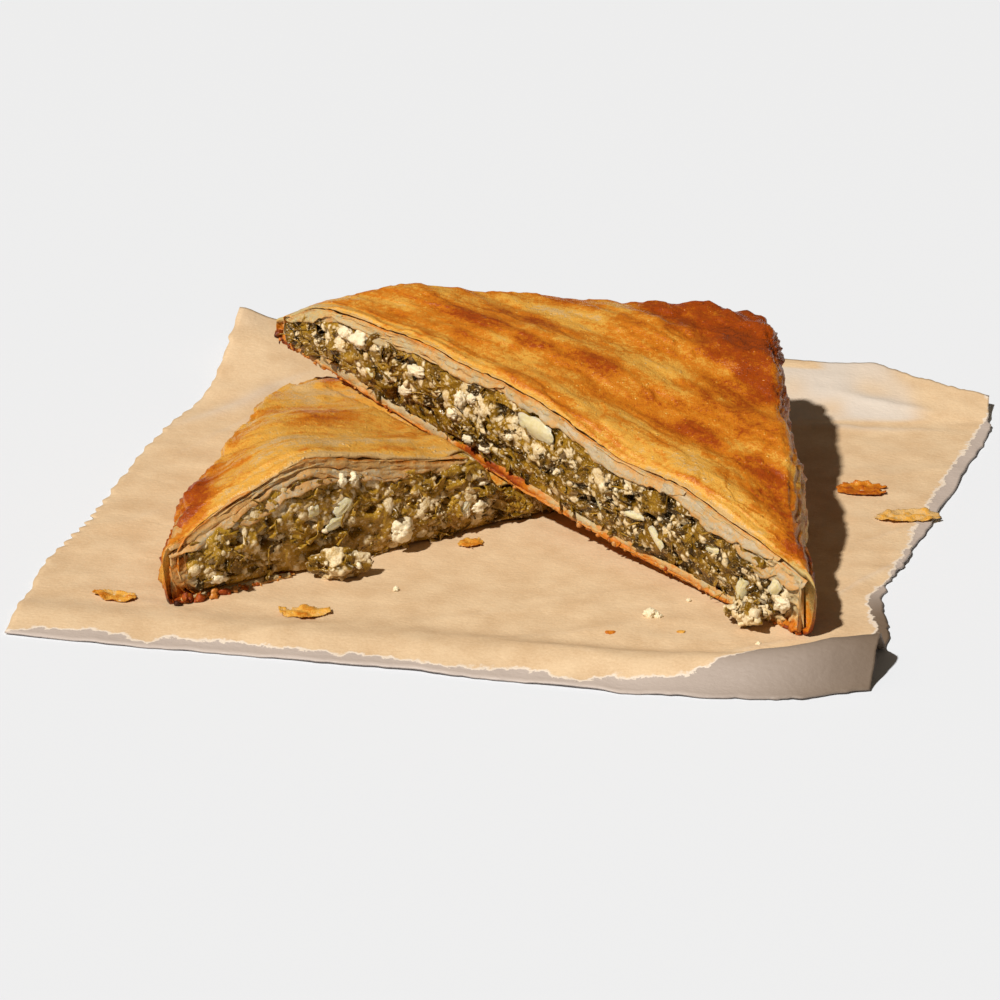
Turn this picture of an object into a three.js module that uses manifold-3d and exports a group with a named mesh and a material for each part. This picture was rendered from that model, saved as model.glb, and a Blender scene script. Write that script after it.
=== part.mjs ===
// Spanakopita: a square spinach and feta filo pie cut on its diagonal. One half leans on the other,
// both on a torn sheet of baking paper. Millimetres, +Z up, +X to the right, +Y to the back.
import * as THREE from 'three';
import { mergeVertices } from 'three/addons/utils/BufferGeometryUtils.js';
import Module from 'manifold-3d';

const wasm = await Module();
wasm.setup();

// ---------------------------------------------------------------- driving dimensions
const PIE_SIDE = 110;                   // side of the square pie
const DIAGONAL = PIE_SIDE * Math.SQRT2; // length of the cut
const GAP = 0.3;                        // clearance between pieces that touch
const PLAY = GAP + 0.1;                 // clearance between the filling and the crust round it
const SHEET = 0.5;                      // thickness of the baking paper
const REST = SHEET + GAP;               // height at which food rests on the paper

const TOP_CRUST = 3;                    // stack of filo over the filling
const BASE_CRUST = 1.2;                 // filo under the filling
const SQUASHED_SHARE = 0.26;            // the top crust is at most this share of a squashed pie
const SIDE_CRUST = 3.4;                 // folded filo round the two outer sides
const WALL_ROUND = 5;                   // how far the outer wall curves in at top and bottom
const ROUND_SHARE = 0.7;                // and at most this share of the pie's depth there
const TIP_BLUNT = 2.4;                  // depth of the blunt ends of the cut
const TIP_SWELL = 1.2;                  // and how much deeper they get just behind
const TIP_LENGTH = 1.5;                 // over about this distance
const CORNER_ROUND = 18;                // softening of the square corner opposite the cut
const EDGE_REACH = 14;                  // how far in from the outer sides the thickness changes
const CAVITY_MARGIN = 7.5;              // filo alone fills the pie this far from each end of the cut
const CAVITY_FRONT = -14;               // the room for the filling is cut from this far before the cut

// thickness along the cut: [share of the cut length, thickness]
const UPPER_PROFILE = [[0, 2.8], [0.05, 10.6], [0.15, 16.6], [0.3, 20], [0.4, 20.9], [0.5, 22],
  [0.66, 19.8], [0.8, 20.2], [0.92, 16.6], [0.98, 13.6], [1, 12.4]];
const LOWER_PROFILE = [[0, 10.2], [0.04, 15.8], [0.08, 18.8], [0.145, 21.7], [0.205, 25], [0.27, 22],
  [0.34, 20.2], [0.41, 17.8], [0.5, 16], [0.6, 18], [0.9, 15], [1, 11]];
// thickness at the outer sides as a share of that at the cut: [share of the cut length, share]
const UPPER_EDGE = [[0, 1], [0.15, 0.94], [0.3, 0.68], [0.42, 0.74], [0.5, 0.6], [0.6, 0.95], [1, 0.96]];
const LOWER_EDGE = [[0, 1.25], [0.1, 0.67], [0.2, 0.58], [0.3, 0.8], [0.4, 0.68], [0.55, 0.46], [1, 0.4]];
const PROFILE_SPREAD = 0.035;           // the lists above are rounded off over this share of the cut

const UPPER_END = [57, -67.4];          // front end of the upper half's cut, on the paper
const UPPER_CUT = 0.967 * DIAGONAL;
const UPPER_SQUARENESS = 0.935;         // its square corner has opened a little
const UPPER_TURN = -46.7;               // direction of its cut, degrees from +X
const UPPER_FALL = 0.0224;              // the cut falls this much per mm towards its front end
const UPPER_RISE = 0.0854;              // and rises this much per mm away from the cut
const UPPER_CURL = 16.75;               // how far the back tip curls up off a straight line
const UPPER_CURL_END = 134;             // distance from the back tip at which the curl has faded
const UPPER_CURL_POWER = 1.4;           // how late the curl sets in

const LOWER_END = [-62.5, -54.1];       // left end of the lower half's cut
const LOWER_TURN = 32.8;
const LOWER_CUT = 0.938 * DIAGONAL;     // the lower half is a little smaller
const PRESS_SLOPE = 1.5;                // slope of the dent that the upper half presses into it
const PRESS_START = 3;                  // distance in front of the upper half where the dent starts
const PRESS_PLAY = 0.6;                 // clearance under the upper half

const STATIONS = 34;                    // sections along each cut
const STATION_BIAS = 0.09;              // the sections stand closer near the ends of the cut

// low ridges along the cut and broad blisters in the top crust
const RIDGE = { height: 0.5, spacing: 22, swing: 0.3, swingLength: 25 };
const BLISTER = { height: 0.5, long: 15, wide: 12 };
const RIPPLE_FADE = 20;                 // both fade where the pie is less deep than this

// filo layers step down at the cut, each with its own wavy edge: distance in from the cut, and its wave
const RIM_LAYERS = [
  { setBack: 2.6, swing: 0.9, length: 17, shift: 0 },
  { setBack: 1.2, swing: 0.6, length: 11, shift: 2 },
  { setBack: 0.1, swing: 0.4, length: 23, shift: 4 },
];
const RIM_NARROW = { from: 4, over: 12, least: 0.12 }; // the steps shrink where the pie is this shallow

const FACE_ROWS = 6;                    // points up the lumpy face at the cut
const FACE_SET_OUT = 0.3;               // the filling stands this far out of the cut at top and bottom
const FACE_BULGE = 1.6;                 // and this much further at mid height
const FACE_LUMPS = { height: 1.5, length: 4, rise: 0.9 };
const LUMPS_PER_FACE = 26;              // crumbs and knots on each face
const LUMP_RADIUS = [1.4, 2.9];
const LUMP_START = 0.09;                // share of the cut at which the first one sits

// ---------------------------------------------------------------- small helpers
const radians = THREE.MathUtils.degToRad;
const lerp = THREE.MathUtils.lerp;
const clamp = THREE.MathUtils.clamp;

function randomSource(seed) {
  let state = seed;
  return () => {
    state = (state * 1664525 + 1013904223) % 4294967296;
    return state / 4294967296;
  };
}

// reads a list of [position, value] pairs, with straight lines between them
function profile(pairs, x) {
  const last = pairs.length - 1;
  if (x <= pairs[0][0]) return pairs[0][1];
  if (x >= pairs[last][0]) return pairs[last][1];
  const i = pairs.findIndex(([at]) => at > x);
  const [x0, y0] = pairs[i - 1];
  const [x1, y1] = pairs[i];
  return lerp(y0, y1, (x - x0) / (x1 - x0));
}

// the same, rounded off over spread on both sides
function softProfile(pairs, x, spread) {
  const steps = [-1, -0.5, 0, 0.5, 1];
  return steps.reduce((sum, step) => sum + profile(pairs, x + step * spread), 0) / steps.length;
}

function smoothMin(a, b, blend) {
  const h = Math.max(blend - Math.abs(a - b), 0) / blend;
  return Math.min(a, b) - h * h * blend / 4;
}

// repeatable noise from -1 to 1 that changes over about one unit
function noise(x, y, z) {
  const cell = (i, j, k) => {
    const s = Math.sin(i * 127.1 + j * 311.7 + k * 74.7) * 43758.5453;
    return 2 * (s - Math.floor(s)) - 1;
  };
  const [i, j, k] = [Math.floor(x), Math.floor(y), Math.floor(z)];
  const ease = (t) => t * t * (3 - 2 * t);
  const [fx, fy, fz] = [ease(x - i), ease(y - j), ease(z - k)];
  const row = (b, c) => lerp(cell(i, b, c), cell(i + 1, b, c), fx);
  const layer = (c) => lerp(row(j, c), row(j + 1, c), fy);
  return lerp(layer(k), layer(k + 1), fz);
}

// an indexed geometry whose faces all look outward
function outward(positions, index) {
  const geometry = new THREE.BufferGeometry();
  geometry.setAttribute('position', new THREE.Float32BufferAttribute(positions, 3));
  let volume = 0;
  const corner = (i) => new THREE.Vector3().fromArray(positions, 3 * i);
  for (let t = 0; t < index.length; t += 3) {
    const [a, b, c] = [corner(index[t]), corner(index[t + 1]), corner(index[t + 2])];
    volume += a.dot(b.cross(c));
  }
  if (volume < 0) index.reverse();
  geometry.setIndex(index);
  return geometry;
}

// a closed skin over a row of sections, each a loop of [v, w] pairs at one u, placed by place(u, v, w)
function loft(sections, place) {
  const count = sections[0].loop.length;
  const positions = [];
  for (const { u, loop } of sections) {
    for (const [v, w] of loop) positions.push(...place(u, v, w).toArray());
  }
  const index = [];
  for (let s = 0; s + 1 < sections.length; s += 1) {
    for (let i = 0; i < count; i += 1) {
      const j = (i + 1) % count;
      const [a, b, c, d] = [s * count + i, s * count + j, (s + 1) * count + j, (s + 1) * count + i];
      index.push(a, b, c, a, c, d);
    }
  }
  const cap = (s, forward) => {
    const flat = sections[s].loop.map(([v, w]) => new THREE.Vector2(v, w));
    const loopTurn = Math.sign(THREE.ShapeUtils.area(flat));
    for (const face of THREE.ShapeUtils.triangulateShape(flat, [])) {
      const faceTurn = Math.sign(THREE.ShapeUtils.area(face.map((i) => flat[i])));
      if ((faceTurn === loopTurn) !== forward) face.reverse();
      index.push(...face.map((i) => s * count + i));
    }
  };
  cap(0, false);
  cap(sections.length - 1, true);
  return outward(positions, index);
}

// a closed thin sheet: pointAt(i, j) gives the points of its underside, and its top is thick above them
function thinSheet(columns, rows, thick, pointAt) {
  const span = columns + 1;
  const positions = [];
  for (const side of [0, thick]) {
    for (let j = 0; j <= rows; j += 1) {
      for (let i = 0; i <= columns; i += 1) {
        const [x, y, z] = pointAt(i, j);
        positions.push(x, y, z + side);
      }
    }
  }
  const topOf = span * (rows + 1);
  const index = [];
  for (let j = 0; j < rows; j += 1) {
    for (let i = 0; i < columns; i += 1) {
      const a = j * span + i;
      const [b, c, d] = [a + 1, a + span + 1, a + span];
      index.push(topOf + a, topOf + b, topOf + c, topOf + a, topOf + c, topOf + d, a, c, b, a, d, c);
    }
  }
  const edge = [];
  for (let i = 0; i < columns; i += 1) edge.push(i);
  for (let j = 0; j < rows; j += 1) edge.push(j * span + columns);
  for (let i = columns; i > 0; i -= 1) edge.push(rows * span + i);
  for (let j = rows; j > 0; j -= 1) edge.push(j * span);
  edge.forEach((a, n) => {
    const b = edge[(n + 1) % edge.length];
    index.push(a, b, topOf + b, a, topOf + b, topOf + a);
  });
  return outward(positions, index);
}

function solidOf(geometry) {
  const plain = geometry.clone();
  plain.deleteAttribute('normal');
  plain.deleteAttribute('uv');
  const merged = mergeVertices(plain, 1e-4);
  return new wasm.Manifold(new wasm.Mesh({
    numProp: 3,
    vertProperties: Float32Array.from(merged.attributes.position.array),
    triVerts: Uint32Array.from(merged.index.array),
  }));
}

// drops any crumb that ended up loose from the body
function largestBody(solid) {
  return solid.decompose().reduce((best, body) => (body.volume() > best.volume() ? body : best));
}

function geometryOf(solid) {
  const mesh = solid.getMesh();
  const geometry = new THREE.BufferGeometry();
  geometry.setAttribute('position', new THREE.BufferAttribute(Float32Array.from(mesh.vertProperties), 3));
  geometry.setIndex(Array.from(mesh.triVerts));
  return geometry;
}

function piece(name, geometry, colour, roughness) {
  const material = new THREE.MeshStandardMaterial({ color: colour, roughness, metalness: 0 });
  const mesh = new THREE.Mesh(geometry, material);
  mesh.name = name;
  return mesh;
}

// ---------------------------------------------------------------- half a pie
// u runs along the cut, v from the cut into the pie, w up through its thickness
function planDepth(half, u) {
  const rest = half.cut - u;
  const blunt = TIP_BLUNT + TIP_SWELL * (1 - Math.exp(-Math.min(u, rest) / TIP_LENGTH));
  return smoothMin(u, rest, CORNER_ROUND) * half.squareness + blunt;
}

function edgeShare(half, u, distance) {
  const edge = softProfile(half.edge, u / half.cut, PROFILE_SPREAD);
  return edge + (1 - edge) * (1 - Math.exp(-Math.max(distance, 0) / EDGE_REACH));
}

function ripple(half, u, v) {
  const fade = Math.min(1, planDepth(half, u) / RIPPLE_FADE);
  const turn = v / RIDGE.spacing + RIDGE.swing * Math.sin(u / RIDGE.swingLength);
  const ridges = RIDGE.height * Math.sin(2 * Math.PI * turn + half.phase);
  return fade * (ridges + BLISTER.height * noise(u / BLISTER.long, v / BLISTER.wide, half.phase));
}

function thickness(half, u, v) {
  const depth = planDepth(half, u);
  const share = edgeShare(half, u, (depth - v) / Math.SQRT2) / edgeShare(half, u, depth / Math.SQRT2);
  const full = softProfile(half.profile, u / half.cut, PROFILE_SPREAD) * share;
  return half.limit ? smoothMin(full, half.limit(u, v), 3) : full;
}

// thickness of the stack of filo over the filling
function cover(half, u, v) {
  return Math.min(TOP_CRUST, SQUASHED_SHARE * thickness(half, u, v));
}

function crustTop(half, u, v) {
  const rippled = thickness(half, u, v) + ripple(half, u, v);
  return half.limit ? Math.min(rippled, half.limit(u, v)) : rippled;
}

// the round outer wall of a section, from its base up to the height high
function wall(edge, round, base, high, steps) {
  const points = [];
  for (let i = 0; i <= steps; i += 1) {
    const turn = radians(lerp(-90, 90, i / steps));
    points.push([edge - round * (1 - Math.cos(turn)), lerp(base, high, (1 + Math.sin(turn)) / 2)]);
  }
  return points;
}

// the top skin of a section, from the wall forward to the cut; heightAt gives its height at v
function topSkin(from, to, steps, heightAt) {
  const points = [];
  for (let i = 1; i <= steps; i += 1) {
    const v = lerp(from, to, (i / steps) ** 0.8);
    points.push([v, heightAt(v)]);
  }
  return points;
}

function layeredRim(half, u) {
  const room = clamp((planDepth(half, u) - RIM_NARROW.from) / RIM_NARROW.over, RIM_NARROW.least, 1);
  const step = cover(half, u, 0) / RIM_LAYERS.length * room;
  const top = crustTop(half, u, 0);
  return RIM_LAYERS.flatMap(({ setBack, swing, length, shift }, layer) => {
    const edge = (setBack + swing * Math.sin(2 * Math.PI * u / length + shift + half.phase)) * room;
    return [[edge, top - layer * step], [edge - 0.05, top - (layer + 0.95) * step]];
  });
}

function crustSection(half, u) {
  const depth = planDepth(half, u);
  const round = Math.min(WALL_ROUND, depth * ROUND_SHARE);
  const rim = layeredRim(half, u);
  const heightAt = (v) => crustTop(half, u, v);
  const underside = [0, 0.33, 0.66].map((share) => [lerp(0, depth - round, share), 0]);
  return {
    u,
    loop: [
      ...underside,
      ...wall(depth, round, 0, heightAt(depth - round), 6),
      ...topSkin(depth - round, rim[0][0] + 0.3 * round / WALL_ROUND, 9, heightAt),
      ...rim,
    ],
  };
}

// the room inside the crust, shrunk on every side by play; front runs up its side at the cut
function insideSection(half, u, play, front) {
  const edge = planDepth(half, u) - SIDE_CRUST * Math.SQRT2;
  const round = Math.min(WALL_ROUND - 1, edge * 0.6);
  const base = BASE_CRUST + play;
  const heightAt = (v) => thickness(half, u, v) - cover(half, u, v) - play;
  return {
    u,
    loop: [
      [(edge - round) / 2, base],
      ...wall(edge - play * Math.SQRT2, round, base, heightAt(edge - round), 4),
      ...topSkin(edge - round, 0, 6, heightAt),
      ...front.toReversed(),
    ],
  };
}

function stationsOf(half, margin) {
  const list = [];
  for (let i = 0; i < STATIONS; i += 1) {
    const t = i / (STATIONS - 1);
    list.push(lerp(margin, half.cut - margin, t - STATION_BIAS * Math.sin(2 * Math.PI * t)));
  }
  return list;
}

function crust(half) {
  const outer = loft(stationsOf(half, 0).map((u) => crustSection(half, u)), half.place);
  const cavity = loft(stationsOf(half, CAVITY_MARGIN).map((u) => {
    const top = thickness(half, u, 0) - cover(half, u, 0);
    return insideSection(half, u, 0, [[CAVITY_FRONT, BASE_CRUST], [CAVITY_FRONT, top]]);
  }), half.place);
  return solidOf(outer).subtract(solidOf(cavity));
}

// ---------------------------------------------------------------- filling
// a crumb of feta or a knot of leaf: an uneven few-sided lump
function lump(centre, radius, squash, random) {
  const geometry = new THREE.IcosahedronGeometry(radius, 0);
  geometry.deleteAttribute('normal');
  geometry.deleteAttribute('uv');
  const rock = mergeVertices(geometry, 1e-4);
  const at = rock.attributes.position;
  for (let i = 0; i < at.count; i += 1) {
    const swell = lerp(0.8, 1.2, random());
    at.setXYZ(i, at.getX(i) * swell * squash[0], at.getY(i) * swell * squash[1], at.getZ(i) * swell * squash[2]);
  }
  rock.applyMatrix4(new THREE.Matrix4().makeRotationZ(random() * Math.PI));
  rock.translate(centre.x, centre.y, centre.z);
  return solidOf(rock);
}

function fillingFace(half, u) {
  const low = BASE_CRUST + PLAY;
  const high = thickness(half, u, 0) - cover(half, u, 0) - PLAY;
  const points = [];
  for (let i = 0; i <= FACE_ROWS; i += 1) {
    const share = i / FACE_ROWS;
    const bulge = Math.sin(Math.PI * share);
    const rough = FACE_LUMPS.height * noise(u / FACE_LUMPS.length, i * FACE_LUMPS.rise, half.phase + 5);
    const set = -FACE_SET_OUT - FACE_BULGE * bulge + rough * (0.35 + bulge) * (0.5 + 0.5 * bulge);
    points.push([set, lerp(low, high, share)]);
  }
  return points;
}

function filling(half) {
  const stations = stationsOf(half, CAVITY_MARGIN);
  stations[0] += GAP + 0.5;
  stations[STATIONS - 1] -= GAP + 0.5;
  const body = loft(stations.map((u) => insideSection(half, u, PLAY, fillingFace(half, u))), half.place);
  const random = randomSource(half.seed);
  let solid = solidOf(body);
  for (let i = 0; i < LUMPS_PER_FACE; i += 1) {
    const u = lerp(LUMP_START, half.shownTo, (i + random()) / LUMPS_PER_FACE) * half.cut;
    const radius = lerp(...LUMP_RADIUS, random() ** 1.5);
    const share = random();
    const low = BASE_CRUST + PLAY + 0.3 + radius * 1.3;
    const high = thickness(half, u, 0) - TOP_CRUST - PLAY - 0.5 - radius * 1.3;
    if (high < low) continue;
    solid = solid.add(lump(half.place(u, -1, lerp(low, high, share)), radius, [1.1, 1, 0.85], random));
  }
  return largestBody(solid);
}

// ---------------------------------------------------------------- where the two halves lie
function upperFrame() {
  const turn = radians(UPPER_TURN);
  const along = new THREE.Vector3(Math.cos(turn), Math.sin(turn), -UPPER_FALL).normalize();
  const inward = new THREE.Vector3(-Math.sin(turn), Math.cos(turn), UPPER_RISE);
  inward.addScaledVector(along, -inward.dot(along)).normalize();
  const up = new THREE.Vector3().crossVectors(along, inward);
  const origin = new THREE.Vector3(...UPPER_END, REST);
  return { along, inward, up, origin };
}

const upperAxes = upperFrame();

const upper = {
  cut: UPPER_CUT,
  profile: UPPER_PROFILE,
  edge: UPPER_EDGE,
  squareness: UPPER_SQUARENESS,
  phase: 1.3,
  seed: 41,
  shownTo: 0.93,
  place(u, v, w) {
    const lift = UPPER_CURL * (Math.max(0, UPPER_CURL_END - u) / UPPER_CURL_END) ** UPPER_CURL_POWER;
    return upperAxes.origin.clone()
      .addScaledVector(upperAxes.along, u - UPPER_CUT)
      .addScaledVector(upperAxes.inward, v)
      .addScaledVector(upperAxes.up, w + lift);
  },
};

// height of the upper half's underside over a point of the plan, and how far in front of its cut that is
function undersideAbove(x, y) {
  const flatAlong = upperAxes.along.clone().setZ(0).normalize();
  const flatInward = new THREE.Vector3(-flatAlong.y, flatAlong.x, 0);
  let [u, v] = [0, 0];
  let point = upper.place(u, v, 0);
  for (let i = 0; i < 6; i += 1) {
    const miss = new THREE.Vector3(x - point.x, y - point.y, 0);
    u += miss.dot(flatAlong);
    v += miss.dot(flatInward);
    point = upper.place(u, v, 0);
  }
  return { z: point.z, ahead: -v };
}

const lower = {
  cut: LOWER_CUT,
  profile: LOWER_PROFILE,
  edge: LOWER_EDGE,
  squareness: 1,
  phase: 3.9,
  seed: 77,
  shownTo: 0.5,
  place(u, v, w) {
    const turn = radians(LOWER_TURN);
    const x = LOWER_END[0] + u * Math.cos(turn) - v * Math.sin(turn);
    const y = LOWER_END[1] + u * Math.sin(turn) + v * Math.cos(turn);
    return new THREE.Vector3(x, y, w + REST);
  },
  // the upper half presses the lower one down to just under itself
  limit(u, v) {
    const { x, y } = this.place(u, v, 0);
    const { z, ahead } = undersideAbove(x, y);
    return z - REST - PRESS_PLAY + PRESS_SLOPE * Math.max(0, ahead - PRESS_START);
  },
};

// ---------------------------------------------------------------- baking paper
// plan outline, each side from its first corner to its second: front and back run in +X
const PAPER_LEFT = [[-92.7, -66.1], [-87.8, -28.4], [-81.4, -5.3], [-74.1, 32.4], [-63, 66], [-59.5, 93]];
const PAPER_RIGHT = [[66.8, -90.7], [72.3, -68.3], [73, -50.1], [79.6, -30.9], [93.9, 5.4], [104.5, 36], [107, 53]];
const PAPER_FRONT = [[-92.7, -66.1], [-51.8, -74.9], [-11, -83.5], [25.2, -91.9], [50.3, -94.4], [66.8, -90.7]];
const PAPER_BACK = [[-59.5, 93], [-20, 87], [30, 77], [62, 69], [84, 65], [96, 58], [107, 53]];
const PAPER_COLUMNS = 22;
const PAPER_ROWS = 18;
const ARCH_ROWS = 6;                    // the front arch needs closer rows than the flat middle
const ARCH_SHARE = 0.13;                // share of the sheet's depth that those rows take
const FRONT_ARCH = [[-93, 0.8], [0, 1.6], [35, 3], [60, 6.5], [75, 6.5]]; // [x, height] of the rolled front margin
const ARCH_WIDTH = 19;                  // depth of that margin
const BACK_CREASE = 42;                 // y of the crease behind which the paper rises
const BACK_SLOPE = 24;                  // it has risen fully this far behind the crease
const BACK_RISE = 5;
const BACK_RISE_FROM = [45, 62];        // and it rises to the right of this x
const CORNER_RISE = 7;                  // the back left corner stands up by this
const CORNER_REACH = 42;

function curveThrough(points) {
  return new THREE.CatmullRomCurve3(points.map(([x, y]) => new THREE.Vector3(x, y, 0)), false, 'centripetal');
}

const paperSides = {
  left: curveThrough(PAPER_LEFT),
  right: curveThrough(PAPER_RIGHT),
  front: curveThrough(PAPER_FRONT),
  back: curveThrough(PAPER_BACK),
};

// plan position of the sheet's point at shares s (left to right) and t (front to back)
function paperPlan(s, t) {
  const left = paperSides.left.getPoint(t);
  const right = paperSides.right.getPoint(t);
  const front = paperSides.front.getPoint(s);
  const back = paperSides.back.getPoint(s);
  const corners = [
    [PAPER_FRONT[0], (1 - s) * (1 - t)],
    [PAPER_FRONT.at(-1), s * (1 - t)],
    [PAPER_BACK[0], (1 - s) * t],
    [PAPER_BACK.at(-1), s * t],
  ];
  const at = new THREE.Vector3()
    .addScaledVector(left, 1 - s).addScaledVector(right, s)
    .addScaledVector(front, 1 - t).addScaledVector(back, t);
  for (const [[x, y], weight] of corners) at.sub(new THREE.Vector3(x, y, 0).multiplyScalar(weight));
  return at;
}

// height of the sheet's underside above the table
function paperLift(s, t) {
  const at = paperPlan(s, t);
  const inFromFront = Math.min(at.y - paperPlan(s, 0).y, ARCH_WIDTH);
  const arch = profile(FRONT_ARCH, at.x) * Math.sin(Math.PI * inFromFront / ARCH_WIDTH) ** 2;
  const behind = clamp((at.y - BACK_CREASE) / BACK_SLOPE, 0, 1);
  const rise = BACK_RISE * behind * THREE.MathUtils.smoothstep(at.x, ...BACK_RISE_FROM);
  const toCorner = Math.hypot(at.x - PAPER_BACK[0][0], at.y - PAPER_BACK[0][1]);
  const corner = CORNER_RISE * (1 - THREE.MathUtils.smoothstep(toCorner, 0, CORNER_REACH));
  return Math.max(arch, rise, corner);
}

function paperRow(j) {
  return j <= ARCH_ROWS
    ? ARCH_SHARE * j / ARCH_ROWS
    : lerp(ARCH_SHARE, 1, (j - ARCH_ROWS) / (PAPER_ROWS - ARCH_ROWS));
}

function bakingPaper() {
  return thinSheet(PAPER_COLUMNS, PAPER_ROWS, SHEET, (i, j) => {
    const [s, t] = [i / PAPER_COLUMNS, paperRow(j)];
    const at = paperPlan(s, t);
    return [at.x, at.y, paperLift(s, t)];
  });
}

// ---------------------------------------------------------------- what has fallen on the paper
const FLAKE_GRID = [6, 3];
const FLAKE_THICKNESS = 0.45;
const FLAKE_WAVE = 0.2;                 // height of the small waves in a flake

// places on the paper, sizes, direction and how far the edges bend up
const FLAKES = {
  flake_brown: { at: [74.5, 3.4], length: 11, width: 6.5, turn: -6, bend: 1.6, colour: 0xb5561e },
  flake_golden: { at: [82.5, -10.9], length: 13, width: 6, turn: 6, bend: 1.2, colour: 0xdfae62 },
  flake_middle: { at: [-5.9, -24.2], length: 5.5, width: 5, turn: 50, bend: 1.2, colour: 0xcf8a35 },
  flake_cluster: { at: [-36.9, -57.9], length: 8.5, width: 6.5, turn: 15, bend: 1.5, colour: 0xd08c33 },
  flake_left: { at: [-73.3, -50.5], length: 9, width: 3.6, turn: -22, bend: 0.8, colour: 0xd99a45 },
};

// heaps of filling: size is length, width and height
const HEAPS = {
  fallen_filling: { at: [-31, -40.4], size: [15, 8, 6], count: 6, seed: 9, direction: 8 },
  spilled_filling: { at: [45.2, -63.1], size: [11, 7, 6.5], count: 4, seed: 23, direction: -40 },
};

// a flake of crust: a thin leaf, pointed at both ends, that bends up at its sides
function flake({ at, length, width, turn, bend }) {
  const [columns, rows] = FLAKE_GRID;
  const geometry = thinSheet(columns, rows, FLAKE_THICKNESS, (i, j) => {
    const x = i / columns * 2 - 1;
    const y = j / rows * 2 - 1;
    const taper = 1 - 0.75 * Math.abs(x) ** 1.6;
    const lift = bend * (0.55 * x * x + 0.45 * y * y * taper);
    const wave = FLAKE_WAVE * (1 + Math.sin(5 * x + 3 * y + turn));
    return [x * length / 2, y * width / 2 * taper, lift + wave];
  });
  geometry.rotateZ(radians(turn));
  geometry.computeBoundingBox();
  geometry.translate(at[0], at[1], REST - geometry.boundingBox.min.z);
  return geometry;
}

// a heap of filling that fell out: lumps in a row, the outer ones smaller
function fallenHeap({ at, size, count, seed, direction }) {
  const random = randomSource(seed);
  const turn = radians(direction);
  const [long, wide, high] = size;
  const lumps = [];
  for (let i = 0; i < count; i += 1) {
    const share = i / (count - 1) * 2 - 1;
    const radius = (high + 1) / 2 * lerp(0.75, 1, random()) * (1 - 0.35 * Math.abs(share));
    const off = (random() - 0.5) * (wide - 2 * radius) * 0.8;
    const along = share * (long / 2 - radius);
    const centre = new THREE.Vector3(
      at[0] + along * Math.cos(turn) - off * Math.sin(turn),
      at[1] + along * Math.sin(turn) + off * Math.cos(turn),
      REST + radius * 0.8,
    );
    lumps.push(lump(centre, radius, [1.15, 1.15, 0.8], random));
  }
  const heap = lumps.reduce((sum, each) => sum.add(each));
  // nothing reaches below the height at which food rests on the paper
  const floor = new THREE.BoxGeometry(60, 60, 20).translate(at[0], at[1], REST - 10);
  return largestBody(heap.subtract(solidOf(floor)));
}

// ---------------------------------------------------------------- the finished part
const paper = bakingPaper();
paper.computeBoundingBox();
const paperMiddle = paper.boundingBox.getCenter(new THREE.Vector3());

const group = new THREE.Group();
group.position.set(-paperMiddle.x, -paperMiddle.y, -paper.boundingBox.min.z);
group.add(piece('baking_paper', paper, 0xdfbd92, 0.75));
group.add(piece('lower_pastry', geometryOf(crust(lower)), 0xd08f40, 0.55));
group.add(piece('lower_filling', geometryOf(filling(lower)), 0x5a5420, 0.4));
group.add(piece('upper_pastry', geometryOf(crust(upper)), 0xcf8a3c, 0.55));
group.add(piece('upper_filling', geometryOf(filling(upper)), 0x5a5420, 0.4));
for (const [name, heap] of Object.entries(HEAPS)) {
  group.add(piece(name, geometryOf(fallenHeap(heap)), 0x8a8450, 0.45));
}
for (const [name, shape] of Object.entries(FLAKES)) {
  group.add(piece(name, flake(shape), shape.colour, 0.55));
}
group.updateMatrixWorld(true);

export default group;
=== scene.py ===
import math

import bmesh
import bpy
import numpy as np
from bpy.props import FloatProperty, FloatVectorProperty, IntProperty, PointerProperty
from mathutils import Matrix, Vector


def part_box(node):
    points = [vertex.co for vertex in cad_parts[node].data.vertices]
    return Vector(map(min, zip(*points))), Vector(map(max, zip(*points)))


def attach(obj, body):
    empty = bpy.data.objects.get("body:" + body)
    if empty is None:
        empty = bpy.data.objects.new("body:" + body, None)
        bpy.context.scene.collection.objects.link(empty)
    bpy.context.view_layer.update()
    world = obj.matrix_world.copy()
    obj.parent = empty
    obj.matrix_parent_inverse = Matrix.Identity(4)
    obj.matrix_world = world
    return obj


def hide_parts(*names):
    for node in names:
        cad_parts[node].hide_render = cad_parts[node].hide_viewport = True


bl_info = {
    "name": "Spanakopita pie",
    "version": (1, 0, 0),
    "blender": (4, 5, 0),
    "location": "View3D > Sidebar > Pie",
    "description": "A cut spinach and feta filo pie on torn baking paper",
    "category": "Add Mesh",
}

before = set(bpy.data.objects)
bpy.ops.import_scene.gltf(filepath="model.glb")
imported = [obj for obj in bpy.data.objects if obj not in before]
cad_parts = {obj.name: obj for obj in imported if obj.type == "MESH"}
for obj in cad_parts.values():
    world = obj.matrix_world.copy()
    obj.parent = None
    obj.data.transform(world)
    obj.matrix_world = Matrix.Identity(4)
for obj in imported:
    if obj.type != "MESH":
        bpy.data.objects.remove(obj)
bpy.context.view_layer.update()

MM = 0.001

# -------- driving dimensions, as in the solids
PIE_SIDE = 110.0
DIAGONAL = PIE_SIDE * math.sqrt(2)
SHEET = 0.5                      # top of the baking paper
REST = 0.8                       # height at which the food's solids rest
SETTLE = 0.25                    # the crusts sink this far into their resting gap
ON_PAPER = SHEET + 0.04          # loose bits stay above this
SIDE_CRUST = 3.4
WALL_ROUND = 5.0
TIP_BLUNT = 2.4
TIP_SWELL = 1.2
CORNER_ROUND = 18.0
EDGE_REACH = 14.0

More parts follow.
